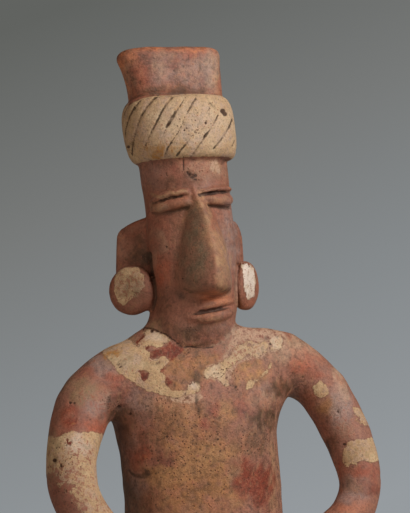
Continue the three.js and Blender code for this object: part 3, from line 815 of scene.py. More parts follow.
def linear(code):
    """An sRGB hex value as linear light: each channel c is ((c + 0.055) / 1.055) to the power 2.4."""
    channels = (int(code[k:k + 2], 16) / 255 for k in (0, 2, 4))
    return (*(c / 12.92 if c < 0.04045 else ((c + 0.055) / 1.055) ** 2.4 for c in channels), 1.0)


COLOUR = {name: linear(code) for name, code in CLAYS.items()}
print(f"{len(COLOUR)} colours; cream slip is {[round(v, 2) for v in COLOUR['cream'][:3]]} in linear light")

# %% [markdown]
# Each patch of cream slip is an outline in the picture. For every point of the skin, the field of a slip is
# the distance in millimetres to the nearest outline, positive inside it. Noise is added to that distance in
# the material, so that an edge frays as flaked slip does, and it still lies where it was measured.

# %% Outlines of cream slip
CREAM = [
    [(101, 350), (117, 342.5), (127, 337.5), (133, 343), (136, 345), (139.5, 342), (143, 338), (145, 334),
     (146, 330.5), (150, 329.5), (153.6, 330.5), (159, 333), (167, 336.3), (170, 339.5), (167, 343),
     (163, 345.7), (157.6, 346.8), (151, 346), (146, 347.5), (145.3, 350), (147, 351.7), (151, 351.5),
     (149.6, 357), (153, 359.5), (156.3, 357.5), (159.6, 358.2), (162.3, 356.2), (167, 357.5), (169, 361.5),
     (167, 365), (160.5, 368.7), (159.6, 371.6), (163.6, 373.8), (165, 376.3), (165, 382.3), (167.3, 386),
     (171, 390.5), (178, 391.5), (186, 389.5), (188.5, 384), (192, 381.5), (198, 381.5), (200.5, 385),
     (199, 391.5), (190, 395), (180, 396.5), (171.7, 397.3), (164.3, 395.7), (157.6, 393.7), (148.2, 391),
     (141.5, 387.6), (132, 381.6), (125.4, 377), (118.8, 371.6), (113.4, 364.2), (103, 353.5)],
    [(204, 371.3), (208.2, 367), (216.7, 367), (223.7, 363.6), (229.3, 360), (235, 356), (237.7, 356.6),
     (235, 363), (231.4, 367), (225.8, 369.2), (224.4, 372.7), (224.4, 377), (229.3, 382.5), (230, 385.3),
     (226.5, 387.5), (223, 385.3), (219.5, 381.8), (216.7, 377.6), (210.3, 376.2), (206.8, 378.3),
     (204, 376.2)],
    [(243.3, 344.7), (248.2, 339.7), (255.2, 342.6), (260, 343.3), (265.8, 342), (268, 346), (266.5, 353),
     (263.7, 353), (260, 356), (257.3, 358.7), (253, 356), (251.7, 353), (253, 348.2), (250.3, 344),
     (246, 343.3)],
    [(269.3, 341), (272.8, 337), (277, 335.5), (283.3, 337.6), (282, 344.7), (279.8, 349), (278.4, 351),
     (275, 349.6), (270.7, 350.3), (269.3, 349), (272.8, 344.7)],
    [(245.4, 385.3), (248.2, 381), (253, 379), (257.3, 379.7), (265.8, 370.6), (267.2, 371.3), (264.4, 375.5),
     (257.3, 381), (253, 386.7), (249, 389.6), (246, 389)],
    [(268, 363.6), (270.7, 363), (270.7, 367), (268, 368.5)],
    [(42, 436), (50, 435.4), (56, 438), (60, 435.4), (65.4, 432.3), (73.5, 431.4), (80.2, 432.7), (87, 431.4),
     (93, 431.6), (100.3, 433.4), (106, 434), (101.5, 448.5), (99.5, 463.5), (101.5, 477), (110.5, 494),
     (126.5, 513), (140, 528), (117.5, 545), (95, 533), (81.5, 513), (77.5, 508.7), (72, 502), (67, 495.3),
     (60, 489.3), (56, 484), (50, 480), (44, 474), (40, 460)],
    [(312.8, 386.5), (321.5, 379.8), (325.5, 383.8), (329, 390.5), (330.2, 392), (325.5, 396), (320.2, 398.6),
     (316.8, 396), (313.5, 390.5)],
    [(353.6, 407.3), (360, 408), (366.4, 415.3), (373, 420), (370, 427), (361, 424), (356.3, 420.7),
     (359, 418), (354.3, 414)],
    [(348.3, 441), (359, 439.2), (368.2, 438.6), (375, 437), (386, 450), (385, 460), (376, 461.4),
     (370, 462.5), (364.2, 461.4), (359.7, 461.4), (356.3, 464.2), (351, 464.8), (346.6, 467.6),
     (344.3, 463.6), (342.6, 459), (343.2, 452.3), (345.5, 447.7), (347.2, 443.8)],
    [(233, 350), (240, 342.5), (252.5, 347.5), (257.5, 344), (260, 350), (252.5, 355), (240, 359), (230, 366),
     (224, 371.3), (215, 370), (212.5, 366.3), (222, 361.5), (229, 357)],
    [(115, 275.5), (120, 269.5), (130, 267.5), (138, 268), (144, 275.5), (144.5, 287), (138, 297),
     (129.5, 301), (123.5, 306), (118.5, 303), (113.5, 290.5)],
    [(241.5, 264), (248, 262), (254, 269), (256.5, 282), (254.5, 297), (248, 300), (244.5, 290),
     (242.5, 275)]]
RED_ISLANDS = [
    [(149.6, 351.5), (158.3, 349.5), (165.6, 346.8), (169.6, 341.4), (173.7, 344.8), (179.7, 345.5),
     (184.4, 347.5), (182.4, 351.5), (177, 355.5), (172.3, 361), (169.6, 358.2), (164.3, 356.2), (159, 355.5),
     (153.6, 358.8), (149.6, 357.5)],
    [(138.2, 371), (143.5, 370.2), (149.6, 373.6), (147.5, 375.6), (147, 379.6), (143.5, 381.6),
     (140.8, 378.3), (140.8, 374.3)],
    [(165, 376.3), (172.3, 381), (173.7, 384.3), (165.6, 385)],
    [(167, 365), (167.6, 367.6), (160.3, 373), (159.6, 371)],
    [(135.5, 345), (137, 341), (142, 338), (144, 335), (145, 337), (141, 341), (137.5, 345.5)],
    [(145.5, 347.5), (151, 346), (149, 348.5), (147, 350.5), (145.3, 350)],
    [(65.4, 437.4), (68.8, 438.8), (69.5, 441.4), (74.2, 442.8), (70, 444.8), (66, 442.8), (64.8, 441.4)]]
THIN_CREAM = [
    [(232, 333), (239, 328.5), (251, 326.5), (267, 326.5), (280, 329), (287, 337), (285, 348), (278, 352),
     (267, 353), (262, 359), (254, 358.5), (246, 360), (238, 364), (231, 374), (229, 386), (221, 384),
     (214, 379), (204, 378), (202, 372), (208, 365), (220, 361), (225, 356), (229, 347), (231, 340)],
    [(211, 161), (215, 158.5), (218.5, 165), (222, 174), (217, 172), (210.5, 170)],
    [(172, 392), (190, 394), (200, 392), (203, 398), (190, 404), (175, 402), (160, 398)]]


FIELD_LIMIT, EDGE_ON, SLOPE_MM = 8.0, 0.03, 22


def slip_field(outlines):
    """The largest signed distance to any of the outlines, in millimetres, and no more than the skin's slope
    to the camera allows, so that a patch ends where the clay turns away."""
    field = np.full(len(skin), -FIELD_LIMIT)
    for outline in outlines:
        field = np.maximum(field, inside(seen, outline) * MM_PER_PIXEL)
    return np.minimum(field, (facing - EDGE_ON) * SLOPE_MM)


islands = slip_field(RED_ISLANDS)
thin_cream = slip_field(THIN_CREAM)
print(f"{len(CREAM)} patches of cream, {len(RED_ISLANDS)} red islands and {len(THIN_CREAM)} thin washes")

# %% [markdown]
# The sides that the picture does not show are painted in keeping, and plainer: the collar closes at the back
# as it does in front, the arm bands run round the arms, and the turban is cream all round. These are told by
# heights and distances in the figure's own frame, and joined to the outlines by taking the larger value.

# %% Slip all round
x, y, z = (skin - shift).T
turned_away = (EDGE_ON - facing) * SLOPE_MM
COLLAR_LOW, COLLAR_RISE, COLLAR_TOP, COLLAR_BACK = 240, 22, 284, -6
ARM_BAND_TOP, RIGHT_BAND_LOW, LEFT_BAND_LOW, ARMS_FROM = 217, 158, 203, 58
KNEE_BAND_LOW, KNEE_BAND_TOP = 62, 74


def between_heights(lowest, highest):
    """How far a point is inside a level band, in millimetres: the lesser of its distances to both edges."""
    return np.minimum(z - lowest, highest - z)


collar_edge = COLLAR_LOW + COLLAR_RISE * np.clip(np.abs(x + 4) / 56, 0, 1) ** 2
at_the_back = np.where(y > COLLAR_BACK, FIELD_LIMIT, -FIELD_LIMIT)
collar_behind = np.minimum(between_heights(collar_edge, COLLAR_TOP), at_the_back)
right_arm_band = np.minimum(between_heights(RIGHT_BAND_LOW, ARM_BAND_TOP), -ARMS_FROM - x)
left_arm_band = np.minimum(between_heights(LEFT_BAND_LOW, ARM_BAND_TOP), x - ARMS_FROM)
knee_bands = between_heights(KNEE_BAND_LOW, KNEE_BAND_TOP)
behind = np.minimum(np.maximum.reduce([collar_behind, right_arm_band, left_arm_band]), turned_away)
print(f"the collar and the arm bands cover {(behind > 0).mean():.0%} of the points, on the sides unseen")

# %% [markdown]
# The turban was brushed with cream all over, so its slip is told by the turban's own form and not by an
# outline. It ends in a crisp line at the foot, where the brow begins, and round the red crest.

# %% Slip on the turban
# The crest's foot is a rounded rectangle of the third power. Cream runs up to it on the turban's top.
CREST_FOOT_X, CREST_FOOT_Y = -16.6, 6
across_foot = np.abs((x - CREST_FOOT_X) / (CREST_ACROSS - 1.2)) ** 3
deep_foot = np.abs((y - CREST_FOOT_Y) / (CREST_DEEP + 3)) ** 3
beside_crest = ((across_foot + deep_foot) ** (1 / 3) - 1.03) * CREST_DEEP
wrapped = np.where(tilted_height > CREST_FOOT - 1, beside_crest, 3.0)
wrapped = np.minimum(np.minimum(wrapped, tilted_height - TURBAN_BOTTOM - 0.3), TURBAN_TOP + 3 - tilted_height)
CRISP = 2.5
cream = np.minimum(np.maximum.reduce([slip_field(CREAM), behind, knee_bands, wrapped * CRISP]), -islands)

# The outlines of slip on an arm or a disc reach a little past it in the picture, onto the body or the ear
# behind. It is taken off there.
from_disc = np.minimum(*(np.linalg.norm(skin - shift - disc_middle(side), axis=1) for side in (-1, 1)))
BODY_X, BODY_REACH, BODY_FROM, BODY_TO, EARS_FROM, EARS_TO = -1, 52, 76, 226, 284, TURBAN_BOTTOM - 3
behind_arm = (np.abs(x - BODY_X) < BODY_REACH) & (z > BODY_FROM) & (z < BODY_TO)
beside_ear = (tilted_height > EARS_FROM) & (tilted_height < EARS_TO) & (from_disc > EAR_DISC_RADIUS + 1.5)
cream[behind_arm | beside_ear] = -FIELD_LIMIT
print(f"cream covers {(cream > 0).mean():.0%} of the points, and thin cream {(thin_cream > 0).mean():.0%}")

# %% [markdown]
# Under and between the slips lies a body of many soft tones with no edges: rubbed places, salts, smoke and
# stains, and also painted shade and painted highlights where the light falls darker or brighter. Each tone is
# a few ovals in the picture, mixed one over the other into a single colour for each point. The picture's
# coordinates are first stirred by a few pixels, so that no oval keeps its plain shape.

# %% Soft clouds of colour
STIR_PIXELS, OTHER_PLACE_MM = 2.4, 400
# The same waves, read at two places far apart, give the two shifts: across and down.
stirred = seen + STIR_PIXELS * waves(np.stack([skin, skin + OTHER_PLACE_MM], 1), 8, 16)


def cloud(ovals):
    """The largest of the ovals' strengths, each falling off as exp of minus 0.7 times the fourth power of the
    distance over the half widths: flat in the middle, and soft at the rim. Short waves break it up."""
    out = np.zeros(len(skin))
    for across, down, half_wide, half_tall, strength in ovals:
        far = np.hypot((stirred[:, 0] - across) / half_wide, (stirred[:, 1] - down) / half_tall)
        out = np.maximum(out, strength * np.exp(-0.7 * far**4))
    return out * np.clip(1 + 0.32 * waves(skin, 5, 20), 0, 1.3) * np.clip(facing * 3 + 0.6, 0, 1)


print(f"the picture's places are stirred by up to {np.abs(stirred - seen).max():.1f} pixels")

# %% The tones and where they lie
# Each tone is a name and its ovals: across, down, half width, half height and strength. They are laid in this
# order, each over those before it, so a name may come again.
TINTS = [
    ("lavender", [(176, 72, 40, 18, 0.5), (198, 76, 16, 14, 0.5), (150, 176, 14, 12, 0.35),
                  (206, 186, 10, 8, 0.4), (230, 240, 9, 38, 0.75), (103, 366, 13, 10, 0.8),
                  (97, 406, 13, 10, 0.6), (142, 402, 16, 12, 0.6), (340, 408, 10, 20, 0.9),
                  (355, 484, 14, 6, 0.8), (352, 497, 15, 7, 0.9), (262, 393, 13, 8, 0.6),
                  (222, 330, 10, 12, 0.4)]),
    # salmon: mostly painted highlights, on the crest's top rim, the shoulder, the lower lip and the arm's
    # outer edge.
    ("salmon", [(165, 49, 44, 3.5, 0.5), (308, 354, 18, 12, 0.6), (285, 334, 14, 6, 0.5),
                (352, 508, 20, 7, 0.95), (213, 322, 18, 4, 0.35), (340, 385, 6, 14, 0.4)]),
    ("pale_lavender", [(160, 70, 13, 9, 0.45), (197, 66, 15, 9, 0.45), (190, 80, 10, 5, 0.3)]),
    ("brick", [(250, 344, 12, 7, 0.5), (238, 338, 8, 5, 0.4), (262, 336, 6, 4, 0.4), (144, 74, 10, 13, 0.8),
               (132, 84, 7, 9, 0.5), (190, 54, 6, 5, 0.5), (174, 65, 7, 5, 0.4), (179, 173, 7, 10, 0.55),
               (148, 232, 4, 34, 0.4), (160, 230, 8, 12, 0.4), (212, 224, 4, 10, 0.5), (112, 380, 10, 7, 0.8),
               (86, 373, 11, 8, 0.4), (364, 471, 15, 9, 0.95), (342, 471, 4, 9, 0.7)]),
    ("bright_brick", [(162, 272, 8, 16, 0.7), (138, 458, 10, 14, 0.85), (301, 366, 13, 9, 0.6),
                      (316, 373, 9, 6, 0.6), (133, 60, 8, 6, 0.3), (94, 426, 14, 8, 0.85),
                      (132, 240, 10, 9, 0.4)]),
    # terracotta: the first two ovals are painted highlights on an ear slab's outer edge and top.
    ("terracotta", [(119, 246, 3.5, 18, 0.9), (135, 220, 14, 3, 0.7), (115, 290, 5, 20, 0.4),
                    (252, 304, 9, 6, 0.6), (258, 280, 3, 20, 0.5), (128, 90, 8, 8, 0.5),
                    (60, 423, 8, 13, 0.6), (101, 390, 7, 8, 0.7), (307, 402, 8, 12, 0.5),
                    (247, 272, 10, 30, 0.3)]),
    ("dull_red", [(124, 395, 9, 10, 0.7), (148, 436, 10, 11, 0.6), (243, 476, 9, 13, 0.8),
                  (266, 500, 10, 14, 0.7), (155, 500, 8, 15, 0.6), (368, 488, 12, 7, 0.95),
                  (318, 425, 9, 10, 0.5), (150, 300, 6, 20, 0.4), (60, 500, 16, 22, 0.8)]),
    ("mauve", [(240, 472, 18, 22, 0.5), (212, 415, 9, 12, 0.4), (144, 492, 10, 22, 0.5),
               (226, 445, 8, 14, 0.35), (165, 460, 13, 7, 0.75), (213, 411, 7, 7, 0.75),
               (205, 424, 7, 7, 0.75), (242, 409, 9, 11, 0.75), (232, 509, 12, 6, 0.6)]),
    # pink_cream: painted highlights along the arm's outer edge and on the shoulder.
    ("pink_cream", [(337, 376, 3, 9, 0.7), (344, 390, 3.5, 10, 0.7), (300, 345, 16, 5, 0.3)]),
    ("pink_clay", [(340, 380, 5, 14, 0.4), (205, 170, 22, 10, 0.6), (280, 352, 17, 12, 0.7),
                   (265, 399, 15, 8, 0.6), (137, 494, 10, 22, 0.55), (148, 402, 14, 8, 0.3),
                   (237, 345, 16, 12, 0.6), (345, 430, 10, 8, 0.5), (163, 242, 3.5, 12, 0.45),
                   (200, 74, 8, 6, 0.3)]),
    # tan_olive: the second oval is painted shade along an arm's outer edge.
    ("tan_olive", [(83, 391, 14, 11, 0.75), (52, 455, 5, 22, 0.5), (155, 330, 10, 10, 0.6),
                   (128, 342, 10, 8, 0.5), (70, 382, 8, 12, 0.4)]),
    # tan: the second oval is a painted highlight along the torso's lit edge.
    ("tan", [(173, 405, 20, 15, 0.65), (273, 470, 5, 48, 0.6), (217, 75, 3, 20, 0.6), (320, 405, 7, 8, 0.2),
             (290, 342, 10, 5, 0.4)]),
    ("ochre", [(190, 366, 30, 16, 0.95), (190, 430, 34, 26, 0.8), (196, 455, 36, 24, 0.8),
               (208, 486, 32, 32, 0.95), (228, 415, 8, 9, 0.7), (326, 408, 8, 9, 0.8),
               (180, 495, 26, 26, 0.85), (175, 387, 11, 5, 0.9), (110, 353, 9, 6, 0.3)]),
    ("light_ochre", [(171, 475, 24, 9, 0.9), (204, 470, 20, 6, 0.6), (208, 456, 30, 6, 0.7),
                     (222, 412, 8, 12, 0.5), (236, 452, 10, 5, 0.4), (248, 372, 17, 13, 0.8),
                     (205, 447, 34, 6, 0.6), (200, 462, 12, 8, 0.4), (235, 500, 8, 7, 0.5)]),
    ("light_ochre", [(226, 452, 16, 4.5, 0.6), (211, 456, 14, 5, 0.6), (187, 465, 14, 6, 0.5),
                     (168, 472, 14, 7, 0.6), (156, 482, 7, 6, 0.6), (228, 410, 6, 10, 0.5)]),
    ("mauve", [(213, 411, 6, 7, 0.8), (206, 423, 5, 7, 0.8), (211, 431, 4, 4, 0.5), (163, 459, 13, 6, 0.7),
               (240, 406, 7, 8, 0.6), (124, 394, 9, 9, 0.6), (148, 425, 7, 8, 0.3), (219, 505, 10, 8, 0.4)]),
    ("lavender", [(135, 402, 8, 15, 0.6), (145, 418, 6, 9, 0.35), (133, 446, 6, 13, 0.35),
                  (138, 486, 9, 12, 0.65), (262, 436, 14, 12, 0.35)]),
    ("rose_grey", [(250, 442, 17, 14, 0.4), (233, 476, 6, 11, 0.4), (126, 488, 6, 26, 0.4),
                   (350, 488, 10, 6, 0.4)]),
    # brown: partly the clay's own brown, and partly painted shade under one breast, the chin and the crest,
    # on the nose's flank, beside the ear and along the torso's shaded edge.
    ("brown", [(252, 442, 18, 14, 0.6), (243, 395, 14, 8, 0.4), (160, 416, 20, 8, 0.35),
               (187, 353, 16, 7, 0.6), (165, 427, 9, 8, 0.4), (175, 91, 44, 6, 0.5), (185, 215, 12, 18, 0.5),
               (139, 255, 9, 14, 0.5), (197, 402, 3, 14, 0.5), (128, 424, 7, 15, 0.4),
               (150, 505, 14, 12, 0.3), (205, 440, 8, 6, 0.3)]),
    # umber: mostly painted shade, under the chin and jaw, in the armpits, under one breast, inside the ear,
    # at the crest's foot and along both edges of the torso; a few ovals are dark dirt.
    ("umber", [(207, 331, 14, 6, 0.35), (205, 332, 24, 9, 0.45), (225, 330, 10, 8, 0.3),
               (210, 343, 18, 4, 0.35), (264, 419, 15, 11, 0.9), (192, 334, 12, 9, 0.7),
               (175, 330, 14, 10, 0.4), (138, 246, 8, 16, 0.55), (127, 492, 6, 20, 0.4),
               (164, 300, 8, 14, 0.3), (190, 178, 8, 6, 0.4), (170, 184, 18, 4, 0.4), (137, 259, 11, 6, 0.6),
               (331, 446, 5, 14, 0.6), (176, 91, 38, 3.5, 0.45), (144, 260, 5, 14, 0.55),
               (281, 388, 13, 9, 0.8), (114, 414, 9, 10, 0.8), (276, 410, 5, 24, 0.4),
               (122, 452, 5, 50, 0.35)]),
    # olive: painted shade on the nose's flank that faces away from the light, over some olive dirt.
    ("olive", [(196, 252, 13, 40, 0.75), (192, 215, 7, 18, 0.6), (185, 262, 9, 30, 0.4)]),
    # tan: painted highlights on the nose's ridge, the lids and the lower lip, where the slip is also rubbed.
    ("tan", [(221, 262, 6, 26, 0.85), (224, 283, 5, 8, 0.7), (162, 196, 9, 2.6, 0.85),
             (179, 191.6, 11, 2.4, 0.85), (158, 207, 7, 4.5, 0.55), (218, 200, 12, 5, 0.4),
             (216, 166, 3.5, 5.5, 0.9), (199, 200, 4, 12, 0.8), (207, 221, 5, 16, 0.75),
             (214, 240, 5, 14, 0.7), (225, 272, 5, 22, 0.6), (213, 319, 14, 2.5, 0.5)]),
    ("orange_brown", [(174, 205, 12, 5, 0.4), (208, 314, 16, 3, 0.5)]),
    # Painted highlights on the crest's rims and on the swell below the nose.
    ("painted_highlight", [(122, 64, 5.5, 15, 0.8), (125, 84, 6, 16, 0.9), (131, 58, 5, 6, 0.6),
                    (214, 298, 15, 6, 0.5), (150, 49, 22, 2.2, 0.5), (196, 49, 24, 2.2, 0.5)]),
    ("pink_clay", [(158, 68, 9, 7, 0.5), (181, 72, 9, 5, 0.45), (205, 64, 8, 6, 0.4), (163, 56, 10, 4, 0.4),
                   (166, 197, 9, 2.2, 0.6), (163, 207, 8, 3.5, 0.5), (155, 260, 4, 8, 0.4),
                   (158, 234, 5, 8, 0.35), (192, 158, 30, 2.5, 0.3)]),
    ("terracotta", [(137, 77, 10, 15, 0.5)]),
    # pink_clay here: painted light on the crest's shaded left flank.
    ("pink_clay", [(129, 75, 6, 17, 0.5)]),
    ("pale_lavender", [(210, 72, 7, 20, 0.6)]),
    ("pink_cream", [(311, 349, 12, 5, 0.45), (122, 246, 9, 12, 0.2), (300, 343, 17, 6, 0.45),
                    (287, 353, 13, 7, 0.3), (103, 397, 7, 8, 0.3), (214, 345, 4, 1.6, 0.6),
                    (221, 341.5, 4, 1.6, 0.7), (228, 336, 3, 2.6, 0.7), (233.5, 330, 2.4, 4, 0.7)]),
    ("pale_lavender", [(338, 405, 9, 18, 0.5), (98, 361, 10, 6, 0.4), (92, 411, 8, 5, 0.4)]),
    ("brick", [(213, 412, 5, 6, 0.7), (207, 423, 4, 6, 0.7)]),
    ("pink_cream", [(212, 72, 5, 20, 0.4)]),
    # umber: painted shade under the chin and under one breast.
    ("umber", [(190, 335, 13, 7, 0.7), (208, 331, 13, 6, 0.35), (255, 441, 10, 12, 0.3)]),
    # deep_red: the second oval darkens a red island as painted shade, where the chin's shadow falls.
    ("deep_red", [(255, 482, 15, 16, 0.75), (172, 348, 9, 5, 0.5)]),
    ("strong_red", [(71, 418, 11, 16, 0.85), (255, 482, 17, 18, 1.0), (212, 336, 16, 6, 0.25),
                    (260, 498, 9, 10, 0.85), (244, 466, 8, 6, 0.7), (141, 455, 7, 9, 0.5),
                    (374, 487, 4, 10, 0.4)])]

# %% [markdown]
# Mixing happens here in plain arrays, one colour for each point, and not in the material. So many soft ovals
# would make a net of nodes that nobody can read, and an array is also quicker to render.

# %% Mixing the tones
# On the sides that the picture does not show, long waves of a few tones take the ovals' place. Each row is a
# tone, the waves' length in millimetres, how high a wave has to be, and the most that the tone covers.
PLAIN_TINTS = [("ochre", 60, 0.2, 0.6), ("lavender", 38, 0.4, 0.6), ("dull_red", 26, 0.5, 0.5),
               ("tan_olive", 20, 0.8, 0.5), ("umber", 30, 1.0, 0.45)]
PICTURE_EDGE, NECK = 176, 276
unseen = np.clip(1 - facing * 3, 0, 1)
plain = np.maximum(unseen, np.clip((PICTURE_EDGE - z) / 20, 0, 1))


def tinted(under, name, share):
    """A named colour mixed over the one beneath: that one plus the share times their difference."""
    return under + share[:, None] * (np.array(COLOUR[name]) - under)


tint = np.tile(np.array(COLOUR["rose"]), (len(skin), 1))
tint = tinted(tint, "red_slip", np.clip((tilted_height - NECK) / 10, 0, 1))
for name, length, least, most in PLAIN_TINTS:
    tint = tinted(tint, name, plain * most * np.clip(waves(skin, length, 16) + 0.6 - least, 0, 1))
for name, ovals in TINTS:
    tint = tinted(tint, name, np.minimum(cloud(ovals), 1))
tint = tinted(tint, "deep_red", np.clip(islands / 0.4 + 0.5, 0, 1))
oval_count = sum(len(ovals) for _, ovals in TINTS)
print(f"{oval_count} ovals in {len(TINTS)} tones give a mean colour of {tint.mean(0)[:3].round(3)}")

# %% [markdown]
# On top of the slips lie the traces of use and burial: worn and grimy places, soot, a dripped orange stain,
# specks of grit, freckles of the red slip, and pale rubbed patches. The soot also carries painted shade, in
# creases, armpits and joints and under the nose, chin and lids. Each is again a cloud of ovals, and some are
# joined to what the shape itself says, such as soot and painted shade in the joints. They stay separate
# fields, so that the material can give each its own grain and edge.

# %% Dirt, stains and wear
# Soot spots, and painted shade: under the nose, the chin and the lids, in the armpits and the breast's
# crease, at the crest's foot, beside the ear discs and along the torso's shaded edge.
SOOT_AND_SHADE_OVALS = [
    (174, 347.5, 8, 2.5, 0.55), (118, 409, 8, 11, 0.6), (283, 390, 8, 5, 0.5), (113, 470, 6, 48, 0.4),
    (196.5, 377, 5, 8, 0.7), (197, 408, 2.0, 19, 1.0), (193, 331, 11, 6, 0.6), (186, 292, 13, 7, 0.62),
    (226, 290, 5, 3.5, 0.7), (145, 258, 5, 12, 0.8), (131, 257, 9, 3, 0.6), (192, 178, 9, 7, 0.45),
    (186, 236, 6, 30, 0.35), (264, 338, 6, 3.5, 0.7), (166, 212.5, 10, 2, 0.8), (221, 206.5, 11, 2.4, 0.8),
    (141, 473.5, 14, 2.2, 0.95), (168, 439, 5, 4, 0.6), (329, 447, 4, 12, 0.7), (175, 92, 42, 4, 0.5),
    (122, 366, 2.5, 2.5, 0.8), (111, 403, 5, 9, 0.7), (236, 328, 4, 3, 0.7), (161, 363, 3.5, 4, 0.5),
    (130, 145, 4, 8, 0.5), (213, 105, 4, 3, 0.5), (138, 296, 11, 12, 0.5), (141, 302, 8, 10, 0.5),
    (128, 490, 6, 20, 0.4), (119, 440, 4, 20, 0.6), (122, 480, 4, 34, 0.35), (258, 417, 15, 10, 0.42),
    (128, 436, 6, 16, 0.45), (160, 178, 16, 6, 0.35), (215, 178, 12, 5, 0.3), (224, 160, 6, 3, 0.7),
    (108, 415, 5, 6, 0.6)]
STAINED = [
    (113, 354, 10, 7, 0.9), (160, 151, 9, 9, 1.0), (172, 150, 10, 7, 0.6), (150, 153, 6, 5, 0.6),
    (178, 106, 3, 9, 0.6), (129, 135, 4, 22, 0.25), (146, 155, 5, 4, 0.6), (186, 146, 12, 6, 0.35),
    (111, 353, 8, 5.5, 0.8), (182, 136, 16, 5, 0.25)]
WORN = [
    (140, 300, 10, 10, 0.7), (250, 262, 5, 6, 0.6), (54, 480, 12, 12, 1.0), (66, 492, 12, 12, 1.0),
    (80, 504, 10, 12, 0.8), (62, 470, 20, 14, 0.5), (85, 458, 12, 10, 0.45), (68, 476, 12, 10, 0.4),
    (48, 462, 4, 22, 0.5), (138, 340, 10, 8, 0.5), (160, 336, 8, 6, 0.3), (138, 290, 8, 14, 0.4),
    (193, 388, 9, 6, 0.4), (95, 505, 22, 14, 0.25), (362, 423, 8, 8, 0.4), (352, 457, 8, 8, 0.1),
    (246, 350, 12, 8, 0.45), (228, 362, 10, 6, 0.35), (264, 345, 8, 6, 0.35), (196, 118, 20, 12, 0.25),
    (346, 432, 8, 5, 0.5)]
SPECKLED = [
    (180, 178, 30, 11, 0.6), (150, 250, 12, 40, 0.45), (205, 420, 26, 24, 0.6), (150, 385, 26, 14, 0.4),
    (185, 455, 48, 62, 0.8), (252, 440, 20, 22, 0.9), (200, 362, 24, 18, 0.6), (62, 470, 20, 34, 0.7),
    (195, 122, 26, 18, 0.7), (235, 380, 20, 12, 0.8), (112, 403, 10, 14, 0.8), (190, 260, 14, 40, 0.3),
    (135, 440, 12, 40, 0.5), (190, 331, 10, 6, 0.8)]
GRIMY = [
    (128, 363, 28, 12, 0.6), (133, 288, 15, 18, 0.75), (52, 460, 6, 26, 0.6), (360, 452, 16, 12, 0.5),
    (72, 470, 20, 24, 0.35), (100, 500, 24, 12, 0.3), (129, 125, 6, 26, 0.45), (190, 152, 40, 5, 0.35)]
PALE = [
    (249, 281, 8, 22, 1.0), (190, 125, 44, 24, 0.22), (275, 343, 9, 7, 0.35), (194, 387, 6, 5, 0.35),
    (240, 352, 26, 9, 0.1), (214, 376, 10, 8, 0.25), (155, 336, 9, 6, 0.35), (128, 362, 12, 8, 0.2),
    (75, 445, 14, 10, 0.3)]
FRECKLED = [
    (70, 482, 22, 30, 0.75), (82, 452, 10, 10, 0.6), (112, 505, 26, 14, 0.6), (345, 430, 12, 12, 0.5),
    (232, 352, 26, 14, 0.5), (250, 287, 8, 20, 0.3), (131, 288, 16, 19, 0.65), (190, 172, 26, 8, 0.4),
    (366, 418, 8, 10, 0.5), (95, 400, 16, 16, 0.45), (105, 415, 10, 12, 0.5)]

# %% [markdown]
# Each field is one number for each point: how worn, how much soot and painted shade, how deep in a hollow.
# Where a trace comes from the shape, it is worked out from the shape, so that it also holds on the sides that
# are not in the picture.

# %% The painted fields
# The clouds draw their waves in this order.
CLOUDS = {"worn": WORN, "grimy": GRIMY, "speckled": SPECKLED, "soot_and_shade": SOOT_AND_SHADE_OVALS, "stain": STAINED, "pale": PALE,
          "freckled": FRECKLED}
clouds = {name: cloud(ovals) for name, ovals in CLOUDS.items()}
# Soot and painted shade in the joints between the forms: darker where the skin lies below the skin that many
# smoothing passes leave, and none on the crest's upper part.
SOOT_AND_SHADE_TOP = TURBAN_TOP + 9
joint_soot_and_shade = 0.8 * np.clip(-far_relief / 1.6 - 0.35, 0, 1) * np.clip((SOOT_AND_SHADE_TOP - tilted_height) / 6, 0, 1)
low_turban = (tilted_height > TURBAN_BOTTOM) & (tilted_height < TURBAN_BOTTOM + 12)
arms_or_head = np.maximum(np.clip((np.abs(x) - BODY_REACH) / 8, 0, 1), np.clip((z - 268) / 8, 0, 1))
fields = {
    "cream_slip": cream,
    "thin_cream": thin_cream,
    "worn": np.maximum(clouds["worn"], plain * 0.35),
    "grimy": clouds["grimy"],
    "speckled": np.maximum(clouds["speckled"], plain * 0.4),
    "soot_and_shade": np.maximum(clouds["soot_and_shade"], joint_soot_and_shade),
    "stain": np.maximum(clouds["stain"], unseen * 0.5 * low_turban),
    "quiet": arms_or_head * np.clip((366 - z) / 6, 0, 1),
    "pale": clouds["pale"],
    "rubbed": np.clip(near_relief / 0.4 - 0.4, 0, 1),
    # Painted shade and dirt in the small hollows, where the skin lies below the skin that a few smoothing
    # passes leave.
    "hollow": np.clip(-near_relief / 0.25, 0, 2),
    "stroke": stroke_away,
    "slit": np.minimum(np.minimum(slit_away, crack_away), pit_away),
    "freckled": clouds["freckled"]}
print("share of the points where each cloud is over a half:",
      {name: round(float((values > 0.5).mean()), 3) for name, values in clouds.items()})

# %% [markdown]
# The skin becomes one mesh object, and each field becomes an attribute: one number, or one colour, for each
# point. The material reads them by name. Smooth shading hides the small quads.

# %% The finished mesh
figure_mesh = mesh_from("slip_painted_figure", skin * MM, faces)
for name, values in fields.items():
    layer = figure_mesh.attributes.new(name, "FLOAT", "POINT")
    layer.data.foreach_set("value", values.astype(np.float32))
layer = figure_mesh.attributes.new("tint", "FLOAT_COLOR", "POINT")
layer.data.foreach_set("color", tint.astype(np.float32).ravel())
figure_mesh.polygons.foreach_set("use_smooth", np.ones(len(faces), bool))
figure_mesh.update()
figure = bpy.data.objects.new("slip_painted_figure", figure_mesh)
bpy.context.scene.collection.objects.link(figure)
print(f"the figure has {2 * len(faces)} triangles and {len(fields) + 1} painted fields")

